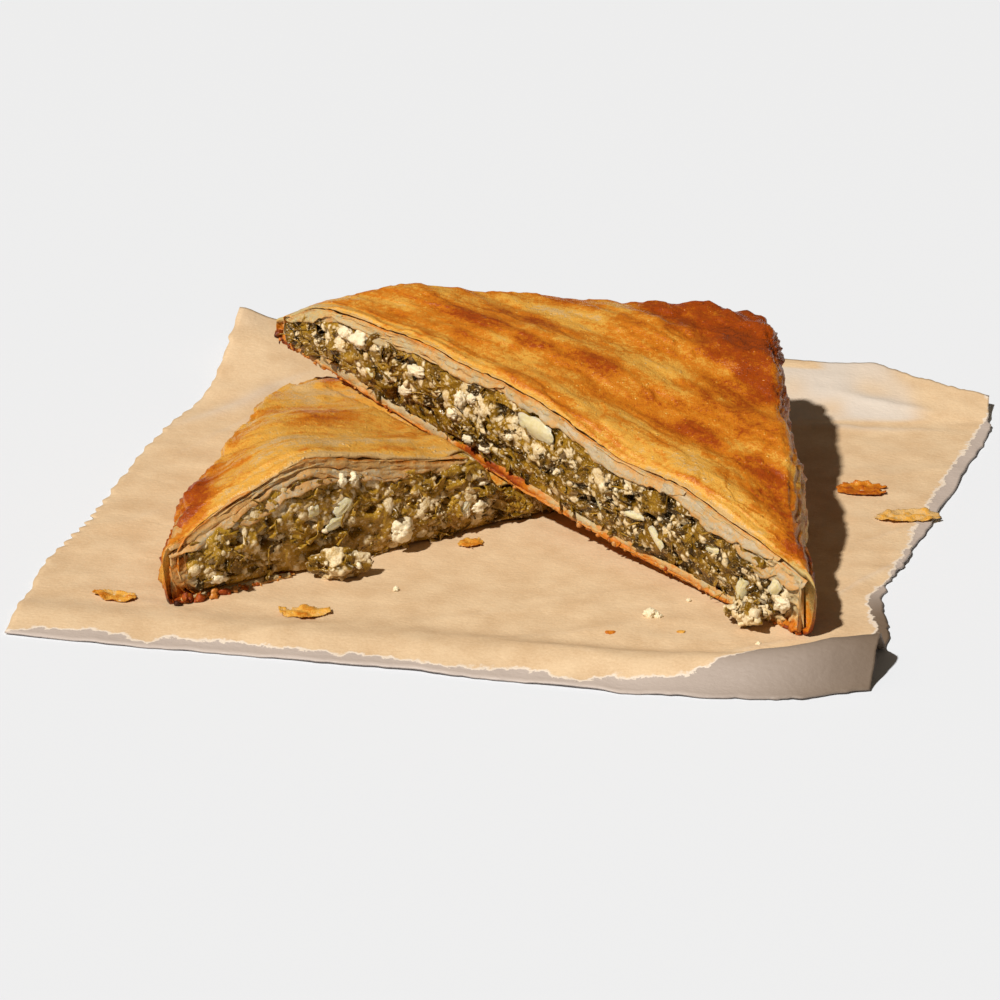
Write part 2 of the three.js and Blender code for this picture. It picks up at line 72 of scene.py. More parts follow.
# along each cut, from 0 at its left end to 1 at its right end: the share of its thickness that the half
# keeps at its outer edge, and its thickness at the cut
UPPER_EDGE = [(0, 1), (0.15, 0.94), (0.3, 0.68), (0.42, 0.74), (0.5, 0.6), (0.6, 0.95), (1, 0.96)]
LOWER_EDGE = [(0, 1.25), (0.1, 0.67), (0.2, 0.58), (0.3, 0.8), (0.4, 0.68), (0.55, 0.46), (1, 0.4)]
UPPER_PROFILE = [(0, 2.8), (0.05, 10.6), (0.15, 16.6), (0.3, 20), (0.4, 20.9), (0.5, 22), (0.66, 19.8),
                 (0.8, 20.2), (0.92, 16.6), (0.98, 13.6), (1, 12.4)]
LOWER_PROFILE = [(0, 10.2), (0.04, 15.8), (0.08, 18.8), (0.145, 21.7), (0.205, 25), (0.27, 22), (0.34, 20.2),
                 (0.41, 17.8), (0.5, 16), (0.6, 18), (0.9, 15), (1, 11)]
UPPER_END = (57, -67.4)          # the right end of the upper half's cut, on the plan
UPPER_CUT = 0.967 * DIAGONAL
UPPER_SQUARENESS = 0.935         # below 1, its corner is wider than square
UPPER_TURN = -46.7               # of its cut on the plan, in degrees
UPPER_FALL = 0.0224              # its cut slopes down to the right end
UPPER_RISE = 0.0854              # and it rises away from the cut
UPPER_CURL = 16.75               # its left end is bent up this far
UPPER_CURL_END = 134.0           # and the bend ends this far along the cut
UPPER_CURL_POWER = 1.4
LOWER_END = (-62.5, -54.1)       # the left end of the lower half's cut
LOWER_TURN = 32.8
LOWER_CUT = 0.938 * DIAGONAL
PRESS_SLOPE = 1.5                # the dent under the upper half ends in this slope
PRESS_START = 3.0                # which starts this far ahead of the upper cut
PRESS_CLEARANCE = 0.6

# the paper's outline on the plan
PAPER_LEFT = [(-92.7, -66.1), (-87.8, -28.4), (-81.4, -5.3), (-74.1, 32.4), (-63, 66), (-59.5, 93)]
PAPER_RIGHT = [(66.8, -90.7), (72.3, -68.3), (73, -50.1), (79.6, -30.9), (93.9, 5.4), (104.5, 36), (107, 53)]
PAPER_FRONT = [(-92.7, -66.1), (-51.8, -74.9), (-11, -83.5), (25.2, -91.9), (50.3, -94.4), (66.8, -90.7)]
PAPER_BACK = [(-59.5, 93), (-20, 87), (30, 77), (62, 69), (84, 65), (96, 58), (107, 53)]
# its arch behind the front edge, as x and height, and what is raised behind
FRONT_ARCH = [(-93, 0.8), (0, 1.6), (35, 3), (60, 6.5), (75, 6.5)]
ARCH_WIDTH = 19.0
BACK_CREASE = 42.0               # y of the crease in front of the raised back edge
BACK_RISE = 5.0
CORNER_RISE = 7.0                # of the back left corner
CORNER_REACH = 42.0

# the frame's origin is the middle of the paper: what it adds to the places above
paper_low, paper_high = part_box("baking_paper")
SHIFT = np.array([paper_low.x / MM - PAPER_LEFT[0][0], paper_high.y / MM - PAPER_BACK[0][1]])


# -------- numbers
def lerp(a, b, share):
    return a + (b - a) * share


def smoothstep(x, low, high):
    share = np.clip((x - low) / (high - low), 0, 1)
    return share * share * (3 - 2 * share)


def smooth_min(a, b, blend):
    near = np.maximum(blend - np.abs(a - b), 0) / blend
    return np.minimum(a, b) - near * near * blend / 4


def profile(pairs, x, spread=0.0):
    """Reads (position, value) pairs, rounded off over spread."""
    at, value = zip(*pairs)
    steps = (-1, -0.5, 0, 0.5, 1) if spread else (0,)
    return np.mean([np.interp(x + step * spread, at, value) for step in steps], axis=0)


def unit(vectors):
    return vectors / np.maximum(np.linalg.norm(vectors, axis=-1, keepdims=True), 1e-9)


def cell_value(cells, seed):
    """A repeatable value from -1 to 1 for each whole-number cell."""
    x, y, z = np.moveaxis(cells.astype(np.int64), -1, 0)
    mixed = (x * 73856093) ^ (y * 19349663) ^ (z * 83492791) ^ (seed * 2654435761)
    mixed = ((mixed ^ (mixed >> 13)) * 1274126177) & 0xFFFFFFFF
    mixed = (mixed ^ (mixed >> 15)) & 0xFFFFFF
    return mixed / 0x7FFFFF - 1.0


def noise(points, size, seed):
    """Smooth noise from -1 to 1 that changes over about size; size may be one for each axis."""
    scaled = points / np.asarray(size, float)
    cells = np.floor(scaled)
    share = scaled - cells
    share = share * share * (3 - 2 * share)
    total = 0
    for corner in np.ndindex(2, 2, 2):
        corner = np.array(corner)
        weight = np.prod(np.where(corner, share, 1 - share), axis=-1)
        total = total + weight * cell_value(cells + corner, seed)
    return total


def fractal(points, size, seed, layers=3):
    size = np.asarray(size, float)
    return sum(noise(points, size / 2 ** n, seed + 17 * n) / 2 ** n for n in range(layers))


def on_line(x, seed):
    """Points for noise that changes along one direction only."""
    x = np.asarray(x, float)
    return np.stack([x, np.full_like(x, 0.37 + seed), np.full_like(x, 0.61)], -1)


def waver(line, length, seed):
    """Noise at the points of on_line that changes over about length."""
    return noise(line, (length, 1, 1), seed)


def on_plane(x, y):
    x, y = np.broadcast_arrays(x, y)
    return np.stack([x, y, np.full(x.shape, 0.5)], -1)


# -------- meshes
def grid_faces(rows, columns, keep=None):
    index = np.arange(rows * columns).reshape(rows, columns)
    faces = np.stack([index[:-1, :-1], index[:-1, 1:], index[1:, 1:], index[1:, :-1]], -1)
    return faces.reshape(-1, 4) if keep is None else faces[keep]


def grid_normals(points):
    return unit(np.cross(np.gradient(points, axis=1), np.gradient(points, axis=0)))


def sheet_solid(points, thick, keep=None):
    """A closed thin body under a grid of points. keep says which of the grid's cells are there."""
    rows, columns = points.shape[:2]
    count = rows * columns
    under = points - grid_normals(points) * np.broadcast_to(thick, points.shape[:2])[..., None]
    faces = grid_faces(rows, columns, keep)
    edges = np.concatenate([faces[:, [k, (k + 1) % 4]] for k in range(4)])
    open_edge = ~np.isin(edges[:, 0] * count + edges[:, 1], edges[:, 1] * count + edges[:, 0])
    a, b = edges[open_edge].T
    rim = np.stack([b, a, a + count, b + count], -1)
    every = np.concatenate([points.reshape(-1, 3), under.reshape(-1, 3)])
    return every, np.concatenate([faces, faces[:, ::-1] + count, rim])


def dome_ends(rings, first_bulge, last_bulge):
    """Adds shrinking rings at both ends, so that a row of rings ends round."""
    def dome(ring, inner, bulge):
        middle = ring.mean(0)
        ahead = unit(middle - inner.mean(0))
        turns = np.radians([25, 48, 68, 86])
        return [middle + (ring - middle) * math.cos(t) + ahead * bulge * math.sin(t) for t in turns]

    first = dome(rings[0], rings[2], first_bulge)[::-1]
    last = dome(rings[-1], rings[-3], last_bulge)
    return np.concatenate([first, rings, last])


def closed_loft(rings):
    """A closed body over rows of rings, with a fan at each end. Returns points, quads and triangles."""
    rows, columns = rings.shape[:2]
    index = np.arange(rows * columns).reshape(rows, columns)
    ahead = np.roll(index, -1, axis=1)
    quads = np.stack([index[:-1], ahead[:-1], ahead[1:], index[1:]], -1).reshape(-1, 4)
    first, last = rows * columns, rows * columns + 1
    fans = np.concatenate([
        np.stack([ahead[0], index[0], np.full(columns, first)], -1),
        np.stack([index[-1], ahead[-1], np.full(columns, last)], -1),
    ])
    points = np.concatenate([rings.reshape(-1, 3), rings[:1].mean(1), rings[-1:].mean(1)])
    return points, quads, fans


def faces_outward(points, groups):
    volume = 0
    for faces in groups:
        a = points[faces[:, 0]]
        for k in range(1, faces.shape[1] - 1):
            volume += np.einsum("ij,ij->", a, np.cross(points[faces[:, k]], points[faces[:, k + 1]]))
    return groups if volume > 0 else [faces[:, ::-1] for faces in groups]


def ball(level):
    """Points and triangles of a round ball of radius 1."""
    made = bmesh.new()
    bmesh.ops.create_icosphere(made, subdivisions=level, radius=1.0)
    points = np.array([v.co for v in made.verts])
    faces = np.array([[v.index for v in f.verts] for f in made.faces])
    made.free()
    return points, faces


class Bodies:
    """Collects closed bodies for one mesh, in millimetres, with named values at their points."""

    def __init__(self, *value_names):
        self.points, self.faces, self.count = [], [], 0
        self.values = {name: [] for name in value_names}

    def add(self, points, *groups, **values):
        for faces in faces_outward(points, groups):
            self.faces.append(faces + self.count)
        self.points.append(points)
        self.count += len(points)
        for name, kept in self.values.items():
            kept.append(np.broadcast_to(values.get(name, 0.0), len(points)))

    def scatter(self, shape, places, frames, scales, **values):
        """Copies of one shape, each with its own place, directions (columns) and size."""
        if not len(places):
            return
        points, faces = shape
        turned = np.einsum("nij,nmj->nmi", frames, points[None] * scales[:, None, :])
        every = (turned + places[:, None, :]).reshape(-1, 3)
        offsets = np.arange(len(places))[:, None, None] * len(points)
        repeated = {name: np.repeat(each, len(points)) for name, each in values.items()}
        self.add(every, (faces[None] + offsets).reshape(-1, faces.shape[1]), **repeated)

    def piece(self, name, material, nodes=(), slot=None, lowest=0.0):
        mesh = bpy.data.meshes.new(name)
        points = np.concatenate(self.points) * MM
        points[:, 2] = np.maximum(points[:, 2], lowest * MM)
        used = np.zeros(len(points), bool)
        for faces in self.faces:
            used[faces] = True
        renumber = np.cumsum(used) - 1
        faces = [renumber[f] for f in self.faces]
        corners = np.concatenate([f.ravel() for f in faces])
        sizes = np.concatenate([np.full(len(f), f.shape[1]) for f in faces])
        mesh.vertices.add(int(used.sum()))
        mesh.vertices.foreach_set("co", points[used].astype(np.float32).ravel())
        mesh.loops.add(len(corners))
        mesh.loops.foreach_set("vertex_index", corners.astype(np.int32))
        mesh.polygons.add(len(sizes))
        mesh.polygons.foreach_set("loop_start", (np.cumsum(sizes) - sizes).astype(np.int32))
        mesh.update(calc_edges=True)
        mesh.shade_smooth()
        for value_name, kept in self.values.items():
            attribute = mesh.attributes.new(value_name, "FLOAT", "POINT")
            attribute.data.foreach_set("value", np.concatenate(kept)[used].astype(np.float32))
        mesh.materials.append(material)
        made = bpy.data.objects.new(name, mesh)
        bpy.context.scene.collection.objects.link(made)
        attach(made, "root")
        if nodes:
            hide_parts(*nodes)
        return made


# -------- where the two halves lie
TORN_LEVELS = (-0.42, 0.12, 0.6)  # levels of the noise at which one of the crust's top leaves ends
LIP_TEARS = (                    # tears along the cut: distance from it, swing, length of a swing, step
    (1.0, 1.5, 11, 0.42),
    (3.4, 2.6, 19, 0.24),
)
BROWNEST = 0.92


class Half:
    """Half a pie: u runs along its cut, v from the cut into the pie, w up through it."""

    def plan_depth(self, u):
        rest = self.cut - u
        to_end = np.maximum(np.minimum(u, rest), 0)
        blunt = TIP_BLUNT + TIP_SWELL * (1 - np.exp(-to_end / 1.5))
        return smooth_min(u, rest, CORNER_ROUND) * self.squareness + blunt

    def edge_share(self, u, distance):
        edge = profile(self.edge, u / self.cut, 0.035)
        return edge + (1 - edge) * (1 - np.exp(-np.maximum(distance, 0) / EDGE_REACH))

    def thickness(self, u, v):
        depth = self.plan_depth(u)
        share = self.edge_share(u, (depth - v) / math.sqrt(2)) / self.edge_share(u, depth / math.sqrt(2))
        full = profile(self.profile, u / self.cut, 0.035) * share
        return smooth_min(full, self.limit(u, v), 3) if self.pressed else full

    def smooth_top(self, u, v):
        return self.place(u, v, self.thickness(u, v))

    def torn_edges(self, u, v):
        """The crust's top leaves end here and there. Returns how high its steps stand, how near each edge
        is, and where the leaf below is bare."""
        bent = on_plane(u + 0.3 * v, v)
        field = noise(bent, (27, 8, 1), self.seed + 13) + 0.4 * noise(bent, (9, 3.6, 1), self.seed + 14)
        field = field + 0.16 * noise(bent, (2.6, 1.5, 1), self.seed + 15)
        line = on_line(u, self.seed + 16)
        wander = 0.4 * waver(line, 2.4, 2) + 0.2 * waver(line, 0.9, 3)
        high, near, bare = 0, 0, 0
        for level in TORN_LEVELS:
            high = high + 0.2 * smoothstep(field, level, level + 0.07)
            near = near + np.exp(-((field - level - 0.035) / 0.05) ** 2)
        for back, swing, length, step in LIP_TEARS:
            edge = back + swing * waver(line, length, 4 + length) + wander
            high = high - step * smoothstep(edge - v, -0.1, 0.5)
            near = near + 0.7 * np.exp(-((v - edge - 0.3) / 0.45) ** 2)
            bare = bare + smoothstep(edge - v, 0, 0.7)
        return high, near, bare

    def relief(self, u, v, points):
        """How far the crust's skin stands out of its smooth form."""
        fade = np.minimum(1, self.plan_depth(u) / 20)
        ridges = 0.5 * np.sin(2 * np.pi * (v / 22 + 0.3 * np.sin(u / 25)) + self.phase)
        broad = 0.5 * noise(on_plane(u, v), (15, 12, 1), self.seed)
        folds = 0.3 * fractal(on_plane(u + 0.35 * v, v), (14, 3.2, 1), self.seed + 3, 3)
        dents = 0.16 * fractal(points, 4.0, self.seed + 9, 2)
        blisters = 0.22 * np.maximum(0, noise(points, 2.3, self.seed + 5)) ** 1.5
        grain = 0.05 * fractal(points, 1.1, self.seed + 7, 2)
        creases = 1.3 * (0.42 - np.abs(fractal(points, (7, 7, 5), self.seed + 11, 3)))
        total = fade * (ridges + broad + folds) + dents + blisters + grain + self.wrinkled(u, v) * creases
        steps = self.torn_edges(u, v)[0] - 0.3 * smoothstep(v, 6, 14)
        total = total + steps * fade * (1 + 1.6 * self.wrinkled(u, v))
        if self.pressed:
            total = total * smoothstep(self.limit(u, v) - self.thickness(u, v), 0.3, 2.5)
        return total

    def shaded_rim(self, u):
        """Painted shade: the base's rim is drawn darker where the halves cross, under the upper half."""
        return 0.45 * smoothstep(u, 50, 58) * smoothstep(-u, -84, -72)

    def lip_height(self, u):
        """Height of the crust's skin at the cut."""
        v = 0 * u + 0.5
        return self.thickness(u, v) + self.relief(u, v, self.smooth_top(u, v))

    def browning(self, u, v):
        """How dark the crust is baked, from 0, pale, to 1, scorched."""
        distance = (self.plan_depth(u) - v) / math.sqrt(2)
        tone = self.tone + 0.16 * np.exp(-np.maximum(distance, 0) / 3.5)
        where = on_plane(u, v)
        ragged = 1 + 0.5 * noise(where, 6, self.seed + 31) + 0.35 * noise(where, 3, self.seed + 32)
        for at_u, at_v, long, wide, turn, strength in self.patches:
            across = math.radians(turn)
            du, dv = u - at_u, v - at_v
            x = (du * math.cos(across) + dv * math.sin(across)) / long
            y = (dv * math.cos(across) - du * math.sin(across)) / wide
            tone = tone + strength * np.exp(-(x * x + y * y) * ragged)
        streaks = fractal(on_plane(u + 0.3 * v, v), (20, 4.4, 1), self.seed + 19, 4)
        spots = fractal(where, 4.0, self.seed + 23, 4)
        _, near, bare = self.torn_edges(u, v)
        return smooth_min(tone + 0.2 * streaks + 0.1 * spots + 0.12 * near - 0.14 * bare, BROWNEST, 0.3)


class Upper(Half):
    name = "upper"
    cut, profile, edge, squareness = UPPER_CUT, UPPER_PROFILE, UPPER_EDGE, UPPER_SQUARENESS
    pressed = False                  # by a half that lies on it
    shown = 1.0                      # share of its cut that isn't covered
    seed, phase = 41, 1.3            # of its noise, and of its long ridges
    tone = 0.38                      # browning of its crust
    bulge = 2.8                      # of its right end
    wall_trim = 1.0                  # its outer wall is drawn in this far
    wall_damp = 0.4                  # and soaked this much at the foot
    floor_drop = 0.0                 # its filling starts this much lower, past the left end
    stack = 2.7                      # thickness of the leaves between crust and filling
    curd_share = 0.04                # share of feta all over the filling
    bit_light = 0.36                 # lightness of the loose leaf at the cut
    leaf_wander = 0.2                # how far the leaves' edges stray
    toasted_end = 0.15               # browning of the leaves at the left end
    rim_share, rim_end = 1.1, 1.0    # height of the base's turned up rim, and how much of the cut it takes
    rim_rise = 0.8                   # and how much higher it is at the left end
    plug_reach, plug_out = 10.0, 1.5  # of the folded leaves at the right end, along the cut and out of it
    crumb_reach = 6                  # the dark crumbs reach this far from each end
    # browner and paler patches of the crust: u, v, length, width, turn, strength
    patches = [
        (15, 7, 7, 4, 10, -0.22), (27, 10, 6, 3, 10, -0.14), (44.5, 15.5, 15, 3.6, 0, 0.34),
        (51, 22.5, 7, 3, 0, 0.3), (73, 18.5, 11, 3.6, 4, 0.46), (79, 7.5, 6, 3, -10, -0.2),
        (73.5, 50, 12, 8, 0, 0.42), (86.5, 53, 9, 9, -30, 0.46),
        (75.5, 66, 13, 9, 0, 0.48), (91, 17, 8, 3, -8, 0.3), (110, 17, 8, 2.8, -14, 0.44),
        (127, 15.5, 9, 3.4, -32, 0.42), (144.5, 4.5, 6, 4.5, -20, 0.4), (104.5, 33, 12, 5, -38, 0.3),
        (81.5, 4, 6, 2.4, 0, 0.06), (58.5, 36, 10, 2.6, 8, -0.2), (49.5, 33, 6, 2.2, 8, -0.2),
        (94, 22.5, 6, 3, -20, 0.2), (2, 2, 9, 7, 0, -0.34), (61.5, 53, 7, 4, 20, 0.16),
        (113.5, 9, 6, 2, -14, -0.2), (101, 43, 11, 3.4, -46, 0.32), (60, 27, 9, 2.4, 5, 0.14),
        (118, 28, 7, 3, -50, 0.16), (133.5, 12.5, 6, 3, -40, 0.3), (87.5, 29.5, 6, 3.4, -20, -0.1),
        (98, 29, 7, 3, -30, 0.2), (94.7, 36.2, 4, 3, -40, 0.18), (98.5, 16, 5, 2.2, -20, 0.22),
        (119.3, 15.7, 4, 2, -30, 0.22), (119.8, 4.4, 6, 2, -6, -0.16), (95.5, 12, 5, 1.8, -10, -0.1),
        (118.8, 28, 4, 2, -40, -0.1),
    ]
    damp_spots = [(1, 1, 13, 6), (UPPER_CUT, 0, 5, 4)]  # u, v, length, width

    def __init__(self):
        turn = math.radians(UPPER_TURN)
        self.along = unit(np.array([math.cos(turn), math.sin(turn), -UPPER_FALL]))
        inward = np.array([-math.sin(turn), math.cos(turn), UPPER_RISE])
        self.inward = unit(inward - (inward @ self.along) * self.along)
        self.up = np.cross(self.along, self.inward)
        self.origin = np.array([*(np.array(UPPER_END) + SHIFT), REST - SETTLE])

    def place(self, u, v, w):
        u, v, w = np.broadcast_arrays(u, v, w)
        lift = UPPER_CURL * (np.maximum(0, UPPER_CURL_END - u) / UPPER_CURL_END) ** UPPER_CURL_POWER
        return (self.origin + (u - self.cut)[..., None] * self.along + v[..., None] * self.inward
                + (w + lift)[..., None] * self.up)

    def leaf_light(self, u):
        """How light the spinach is along the cut."""
        return 0.42 - 0.26 * smoothstep(u, 74, 104)

    def wrinkled(self, u, v):
        """How wrinkled the crust is: most at its corner, and along the edge that runs down from it."""
        corner = np.hypot(u - self.cut / 2 - 4, v - 62)
        side = self.plan_depth(u) - v
        return smoothstep(-corner, -30, -8) + 0.8 * smoothstep(-side, -9, -2) * smoothstep(u, 36, 60)


class Lower(Half):
    name = "lower"
    cut, profile, edge, squareness = LOWER_CUT, LOWER_PROFILE, LOWER_EDGE, 1.0
    pressed = True
    shown = 0.64
    seed, phase = 77, 3.9
    tone = 0.21
    bulge = 1.3
    wall_trim = 0.3
    wall_damp = 0.0
    floor_drop = 1.0
    stack = 2.9
    curd_share = 0.09
    # painted light: the lower half's loose leaf is drawn lighter than the upper's, for the light on its face
    bit_light = 0.74
    leaf_wander = 0.5
    toasted_end = 0.5
    rim_share, rim_end = 0.55, 0.19
    rim_rise = 0.0
    plug_reach, plug_out = 9.0, 0.0
    # the dark end crumbs reach further here, partly as painted shadow at the foot of the left end
    crumb_reach = 15
    patches = [
        (51.6, 28, 8, 5, -10, 0.34), (60, 30, 8, 3, 0, 0.12), (45, 41, 12, 3, -5, 0.2),
        (70, 22.5, 10, 2.6, 0, 0.16), (36, 15, 14, 3, 0, -0.15), (13, 13, 9, 4, 40, 0.26),
        (6, 5, 11, 6, 40, 0.5), (25, 18, 6, 3, 30, 0.16), (40, 30, 9, 4, 30, -0.08),
        (30, 27, 12, 4, 40, 0.14), (67, 55, 5, 2, 30, 0.42), (61, 53, 5, 3, 30, -0.3),
        (54, 45, 8, 4, 0, -0.14), (27, 8, 8, 2, 0, -0.08),
    ]
    damp_spots = [(LOWER_CUT * 0.6, 6, 14, 7)]

    def __init__(self):
        turn = math.radians(LOWER_TURN)
        self.along = np.array([math.cos(turn), math.sin(turn), 0.0])
        self.inward = np.array([-math.sin(turn), math.cos(turn), 0.0])
        self.up = np.array([0.0, 0.0, 1.0])
        self.origin = np.array([*(np.array(LOWER_END) + SHIFT), REST - SETTLE])

    def place(self, u, v, w):
        u, v, w = np.broadcast_arrays(u, v, w)
        return self.origin + u[..., None] * self.along + v[..., None] * self.inward + w[..., None] * self.up

    def leaf_light(self, u):
        # painted light: the lower half's spinach is drawn lighter than the upper's, for the light on its
        # face
        return 0.84

    def wrinkled(self, u, v):
        side = self.plan_depth(u) - v
        return smoothstep(-side, -8, -2) + 0.6 * smoothstep(-np.hypot(u - 66, v - 60), -16, -4)

    def limit(self, u, v):
        """How thick it may be under the upper half."""
        at = self.place(u, v, 0.0)
        under, ahead = underside_above(at[..., 0], at[..., 1])
        return under - self.origin[2] - PRESS_CLEARANCE + PRESS_SLOPE * np.maximum(0, ahead - PRESS_START)


def underside_above(x, y):
    """Height of the upper half's underside at places on the plan, and their distance ahead of its cut."""
    along = unit(upper.along[:2])
    inward = np.array([-along[1], along[0]])
    u, v = np.zeros_like(x), np.zeros_like(x)
    at = upper.place(u, v, 0.0)
    for _ in range(6):
        miss = np.stack([x - at[..., 0], y - at[..., 1]], -1)
        u, v = u + miss @ along, v + miss @ inward
        at = upper.place(u, v, 0.0)
    return at[..., 2], -v


upper = Upper()
lower = Lower()

# -------- crusts
CRUST_STATIONS = {"upper": 310, "lower": 256}
TOP_STEPS = {"upper": 138, "lower": 90}
BASE_STEPS, WALL_STEPS = 8, 38
LEFT_BULGE = 1.3                 # of the crusts' left ends
LIP = 0.5                        # thickness of the top skin at the cut
SHELL = 1.1                      # and further in
SHELL_REACH = 10.0               # the shell is hollow this far in from the cut
BASE_FRONT = 1.2                 # thickness of the base at the cut
BURIED = (60.0, 68.0)            # between these u the lower crust steps back under the upper half


def stations(half, count, margin=0.0):
    share = np.linspace(0, 1, count)
    return lerp(margin, half.cut - margin, share - 0.06 * np.sin(2 * np.pi * share))


def crust_rings(half):
    """Rings round the crust: under the base, up the outer wall, over the top to the cut, and back inside."""
    u = stations(half, CRUST_STATIONS[half.name])[:, None]
    top_steps = TOP_STEPS[half.name]
    depth = half.plan_depth(u)
    curve = np.minimum(WALL_ROUND, depth * 0.7)
    line = on_line(u, half.seed)
    front = 0.25 + 0.45 * waver(line, 6, 1) + 0.3 * waver(line, 1.3, 2)
    if half.pressed:
        front = front + 2.6 * smoothstep(u, *BURIED)
    base_front = -0.1 + 0.5 * waver(line, 7, 3) + 0.35 * waver(line, 1.5, 4)
    base_front = base_front + 2.0 * half.floor_drop * smoothstep(u, 18, 28)

    base_share = np.linspace(0, 1, BASE_STEPS, endpoint=False)[None] ** 1.5
    turn = np.radians(np.linspace(-90, 90, WALL_STEPS))[None]
    top_share = (np.arange(1, top_steps + 1)[None] / top_steps) ** 0.8
    wall_top = half.thickness(u, depth - curve)
    v = np.concatenate([lerp(base_front, depth - curve, base_share),
                        depth - curve * (1 - np.cos(turn)),
                        lerp(depth - curve, front, top_share)], axis=1)
    top = half.thickness(u, v[:, -top_steps:])
    w = np.concatenate([0 * u * base_share, wall_top * (1 + np.sin(turn)) / 2, top], axis=1)
    upness = np.concatenate([0 * base_share, (1 + np.sin(turn)) / 2, 1 + 0 * top_share], axis=1)
    wallness = np.concatenate([0 * base_share, np.cos(turn) ** 0.7, 0 * top_share], axis=1)

    smooth = half.place(u, v, w)
    uu = np.broadcast_to(u, v.shape)
    out = grid_normals(smooth)
    if np.mean(out[:, -top_steps // 2] @ half.up) < 0:
        out = -out
    layers = (w / 1.7 + 0.8 * noise(smooth, (11, 11, 4), half.seed + 41)) % 1.0
    ledges = 0.8 * layers ** 1.4 + 0.8 * noise(smooth, (12, 12, 7), half.seed + 43) - half.wall_trim
    raised = half.relief(uu, v, smooth) + wallness * ledges
    outer = smooth + out * (raised * smoothstep(upness, 0.02, 0.3))[..., None]
    edge_tone = wallness * (0.3 * smoothstep(layers, 0.8, 1.0) - 0.22 * smoothstep(layers, 0.05, 0.5))
    tone = np.where(upness > 0, half.browning(uu, v) + edge_tone, 0.42 + 0.12 * noise(smooth, 5, 9))
    tone = tone - 0.2 * wallness * smoothstep(0.5 - upness, 0, 0.3)

    hollow = np.clip(depth - 4.5, 0.8, SHELL_REACH)
    lip_w = w[:, -1:] + half.relief(uu[:, -1:], v[:, -1:], smooth[:, -1:]) - LIP
    ceiling_share = np.array([[0.04, 0.25, 0.6, 1.0]])
    ceiling_v = lerp(front, hollow, ceiling_share)
    ceiling_w = np.minimum(half.thickness(u, ceiling_v) - SHELL, lip_w + 0.4)
    ceiling_w[:, :1] = lip_w
    ceiling_w = np.maximum(ceiling_w, BASE_FRONT + 0.4)
    floor_v = lerp(hollow, base_front + 0.05, np.array([[0.0, 0.5, 1.0]]))
    inner = half.place(u, np.concatenate([ceiling_v, floor_v], 1),
                       np.concatenate([ceiling_w, np.full(floor_v.shape, BASE_FRONT)], 1))
    rings = np.concatenate([outer, inner], axis=1)
    tones = np.concatenate([tone, np.full(inner.shape[:2], 0.12)], axis=1)
    damp = half.wall_damp * wallness * smoothstep(0.8 - upness, 0, 0.4) + 0 * u
    damp = np.concatenate([damp, 0 * inner[..., 0]], axis=1)
    return rings, tones, damp


def damp_of(half, points):
    total = 0
    for at_u, at_v, long, wide in half.damp_spots:
        spot = half.smooth_top(np.array(at_u * 1.0), np.array(at_v * 1.0))
        away = points - spot
        total = total + np.exp(-(away @ half.along / long) ** 2 - (away @ half.inward / wide) ** 2)
    return np.clip(total, 0, 1)


def crust_body(half):
    bodies = Bodies("browning", "damp")
    rings, tones, damp = crust_rings(half)
    rings = dome_ends(rings, LEFT_BULGE, half.bulge)
    added = (len(rings) - len(tones)) // 2
    points, quads, fans = closed_loft(rings)

    def to_points(values):
        values = np.concatenate([np.repeat(values[:1], added, 0), values, np.repeat(values[-1:], added, 0)])
        return np.concatenate([values.ravel(), values[0, :1], values[-1, :1]])

    tones = to_points(tones) + scorch_of(half, points)
    bodies.add(points, quads, fans, browning=tones, damp=np.maximum(to_points(damp), damp_of(half, points)))
    return bodies


def scorch_of(half, points):
    """The lowest corners at the ends of the cut are baked darkest."""
    total = 0
    for end in (0.0, half.cut):
        away = points - half.place(np.array(end), np.array(0.5), np.array(0.5))
        near = np.exp(-(away @ half.along / 5) ** 2 - (away @ half.up / 3.2) ** 2)
        total = total + 0.6 * near * (1 + 0.5 * noise(points, 1.4, 5))
    return total


# -------- leaves of filo
END_ARC = 5.0                    # radius of a leaf's turn round an end of the cut
END_ARC_POINTS = 34
LEAF_POINTS = 320                # along the cut
LEAF_ROWS = 6
LEAF_REACH = 7.5                 # how far a leaf runs in from the cut
HANGING_STEP = 0.4               # between points of a hanging leaf and of the base's rim
HANGING_THICK = 0.16
RIM_ROWS = 9
RIM_THICK = 0.35
BASE_CRUMBS, END_CRUMBS = 150, 30  # crumbs along a whole cut, and more at each of its ends
PLUG_ROWS, PLUG_COLUMNS = 60, 44
LEFT_PLUG_REACH = 6.5
BASE_RIMS = [(1.7, 0.7, 0.03), (0.7, 0.9, 0.2)]  # height, out, tone

